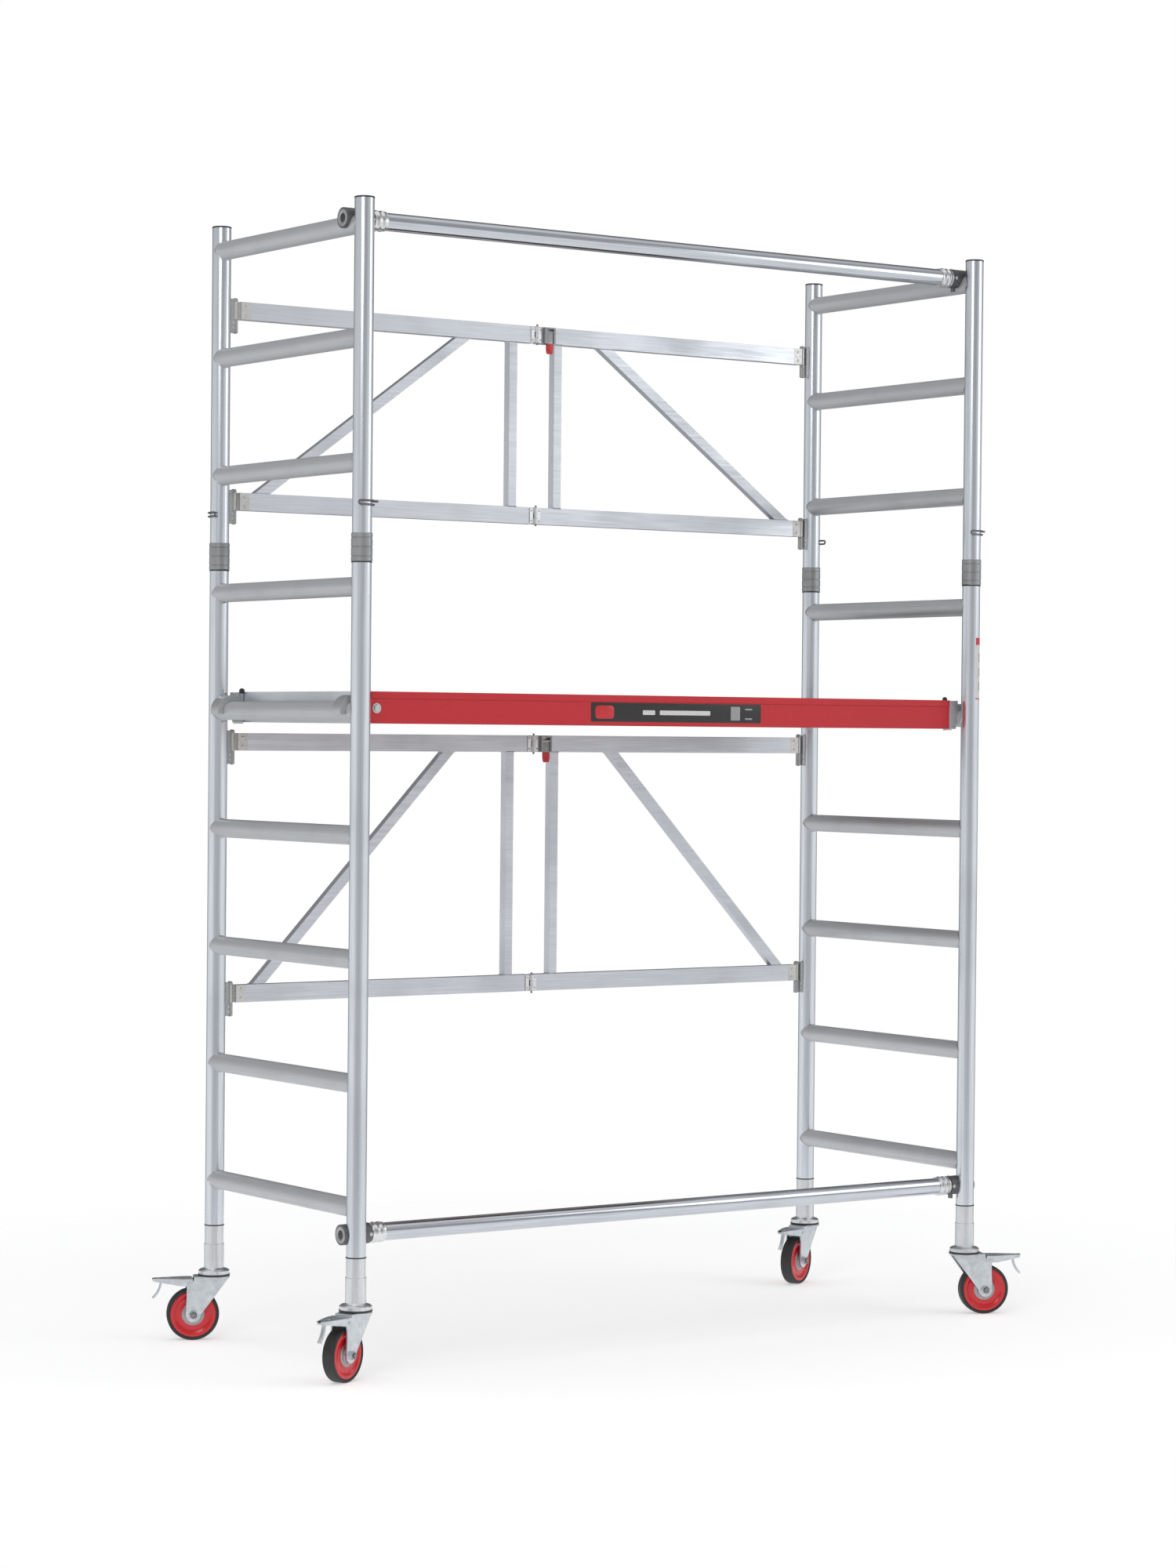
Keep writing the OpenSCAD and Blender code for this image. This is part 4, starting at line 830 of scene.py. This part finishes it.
# Caster stems, seals and forks: turned aluminium feet that plug into the uprights, black bearing
# seals, and pressed forks in pale blue zinc with a hex bolted axle.
foot_metal = finish("foot_metal", (0.76, 0.78, 0.80), (0.64, 0.66, 0.69), 1.0, (0.22, 0.36), (260, 260, 8),
                    0.00002,
                    edge=0.0008)
coat_node(foot_metal, "caster_stems")
coat_node(seal_rubber, "bearing_seals")
zinc_pressing = finish("zinc_pressing", (0.72, 0.76, 0.79), (0.58, 0.62, 0.66), 0.9, (0.26, 0.42),
                       (70, 70, 70),
                       0.00005, smear=0.3, smear_size=22.0, edge=0.002)
coat_node(zinc_pressing, *("fork_" + c for c in corners), *("pedal_" + c for c in corners))
tower_joints = {joint["name"]: joint for joint in frame["joints"]}
tyre_low, tyre_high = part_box("tyre_fl")
wheel_r = (tyre_high.z - tyre_low.z) / 2
tyre_rubber = finish("tyre_rubber", (0.018, 0.018, 0.019), (0.035, 0.034, 0.033), 0.0, (0.42, 0.62),
                     (160, 160, 160),
                     0.00008, smear=0.5, smear_size=30.0)
red_nylon = finish("red_nylon", (0.72, 0.010, 0.020), (0.62, 0.008, 0.016), 0.0, (0.24, 0.36), (80, 80, 80),
                   0.00003,
                   smear=0.12, coat=0.35)
hub_grey = finish("hub_grey", (0.42, 0.40, 0.41), (0.34, 0.32, 0.33), 0.5, (0.28, 0.4), (200, 200, 200),
                  0.00003)


def mirrored(half_profile):
    """A profile of (radius, half width) from the bore outwards, closed by its mirror image."""
    half_profile = np.asarray(half_profile, float)
    return np.vstack([half_profile, half_profile[::-1] * (1, -1)])


tread = np.linspace(0, math.pi / 2, 7)
tyre_profile = mirrored(np.vstack([[[wheel_r - 0.0085, 0.0138], [wheel_r - 0.006, 0.0152],
                                    [wheel_r - 0.0045, 0.0158]],
                                   np.column_stack([wheel_r - 0.0045 + 0.0045 * np.sin(tread),
                                                    0.0103 + 0.0055 * np.cos(tread)])]))
rim_profile = mirrored([(0.0061, 0.0186), (0.0145, 0.0186), (0.0162, 0.0176), (0.0185, 0.0132),
                        (0.0205, 0.0112),
                        (0.0225, 0.0108), (0.0245, 0.0118), (0.0262, 0.0118), (0.0282, 0.0106),
                        (0.040, 0.0104),
                        (0.0425, 0.0112), (0.0455, 0.0136), (0.0475, 0.0145), (0.0510, 0.0145),
                        (0.0525, 0.0138),
                        (wheel_r - 0.0072, 0.0136)])
hub_profile = mirrored([(0.0061, 0.0189), (0.0125, 0.0189), (0.0145, 0.0180), (0.0160, 0.0178),
                        (0.0190, 0.0136),
                        (0.0262, 0.0126), (0.0270, 0.0120), (0.0270, 0.0102)])
for corner in corners:
    wheel = tower_joints[f"wheel_{corner}_spin"]
    hub_at, across = wheel["pos_m"], wheel["axis"]
    add_piece("tyre_ring_" + corner, [lathe(tyre_profile, hub_at, across, 96, closed=True)], tyre_rubber,
              "wheel_" + corner, "tyre_rubber", "tyre_" + corner)
    add_piece("wheel_disc_" + corner, [lathe(rim_profile, hub_at, across, 96, closed=True)], red_nylon,
              "wheel_" + corner, "red_rim", "rim_" + corner)
    add_piece("hub_ring_" + corner, [lathe(hub_profile, hub_at, across, 48, closed=True)], hub_grey,
              "wheel_" + corner, "zinc_steel")


# Axle nuts, brake tips: a hexagon nut and washer on each end of the axle, outside the fork legs, and a
# black moulded tip pushed on the end of the pedal that the boot presses.
def node_points(name):
    """The points of a CAD node as one array."""
    vertices = frame["nodes"][name].data.vertices
    points = np.empty(3 * len(vertices), np.float32)
    vertices.foreach_get("co", points)
    return points.reshape(-1, 3).astype(float)


nut_r, nut_h, tip_depth = 0.0062, 0.0045, 0.004
tip = [(0, -0.0035), (0.0040, -0.0035), (0.0052, -0.0020), (0.0052, 0.0002), (0.0040, 0.0008), (0, 0.0010)]
for corner in corners:
    wheel = tower_joints[f"wheel_{corner}_spin"]
    hub_at, across = np.array(wheel["pos_m"], float), np.array(wheel["axis"], float)
    fork_points = node_points("fork_" + corner)
    near_hub = np.abs(fork_points[:, 2] - hub_at[2]) < 0.010
    axle_half = float(np.abs((fork_points[near_hub] - hub_at) @ across).max())
    nuts = hex_bolt(hub_at + across * (axle_half - 0.001), across, nut_r, nut_h)
    nuts += hex_bolt(hub_at - across * (axle_half - 0.001), -across, nut_r, nut_h)
    add_piece("axle_nuts_" + corner, nuts, pin_steel, "caster_" + corner, "dark_steel")
    pedal_points = node_points("pedal_" + corner)
    stem = np.array(tower_joints[f"caster_{corner}_swivel"]["pos_m"], float)
    ahead = np.array([hub_at[0] - stem[0], hub_at[1] - stem[1], 0.0])
    ahead /= np.linalg.norm(ahead)
    pedal_top = pedal_points[:, 2].max()
    upper = pedal_points[pedal_points[:, 2] > pedal_top - tip_depth]
    pedal_reach = float(((upper - stem) @ ahead).max())
    tip_at = stem + ahead * (pedal_reach - tip_depth)
    tip_at[2] = pedal_top
    add_piece("pedal_tip_" + corner, [lathe(tip, tip_at, steps=24)], moulded_black, "brake_" + corner,
              "black_plastic")
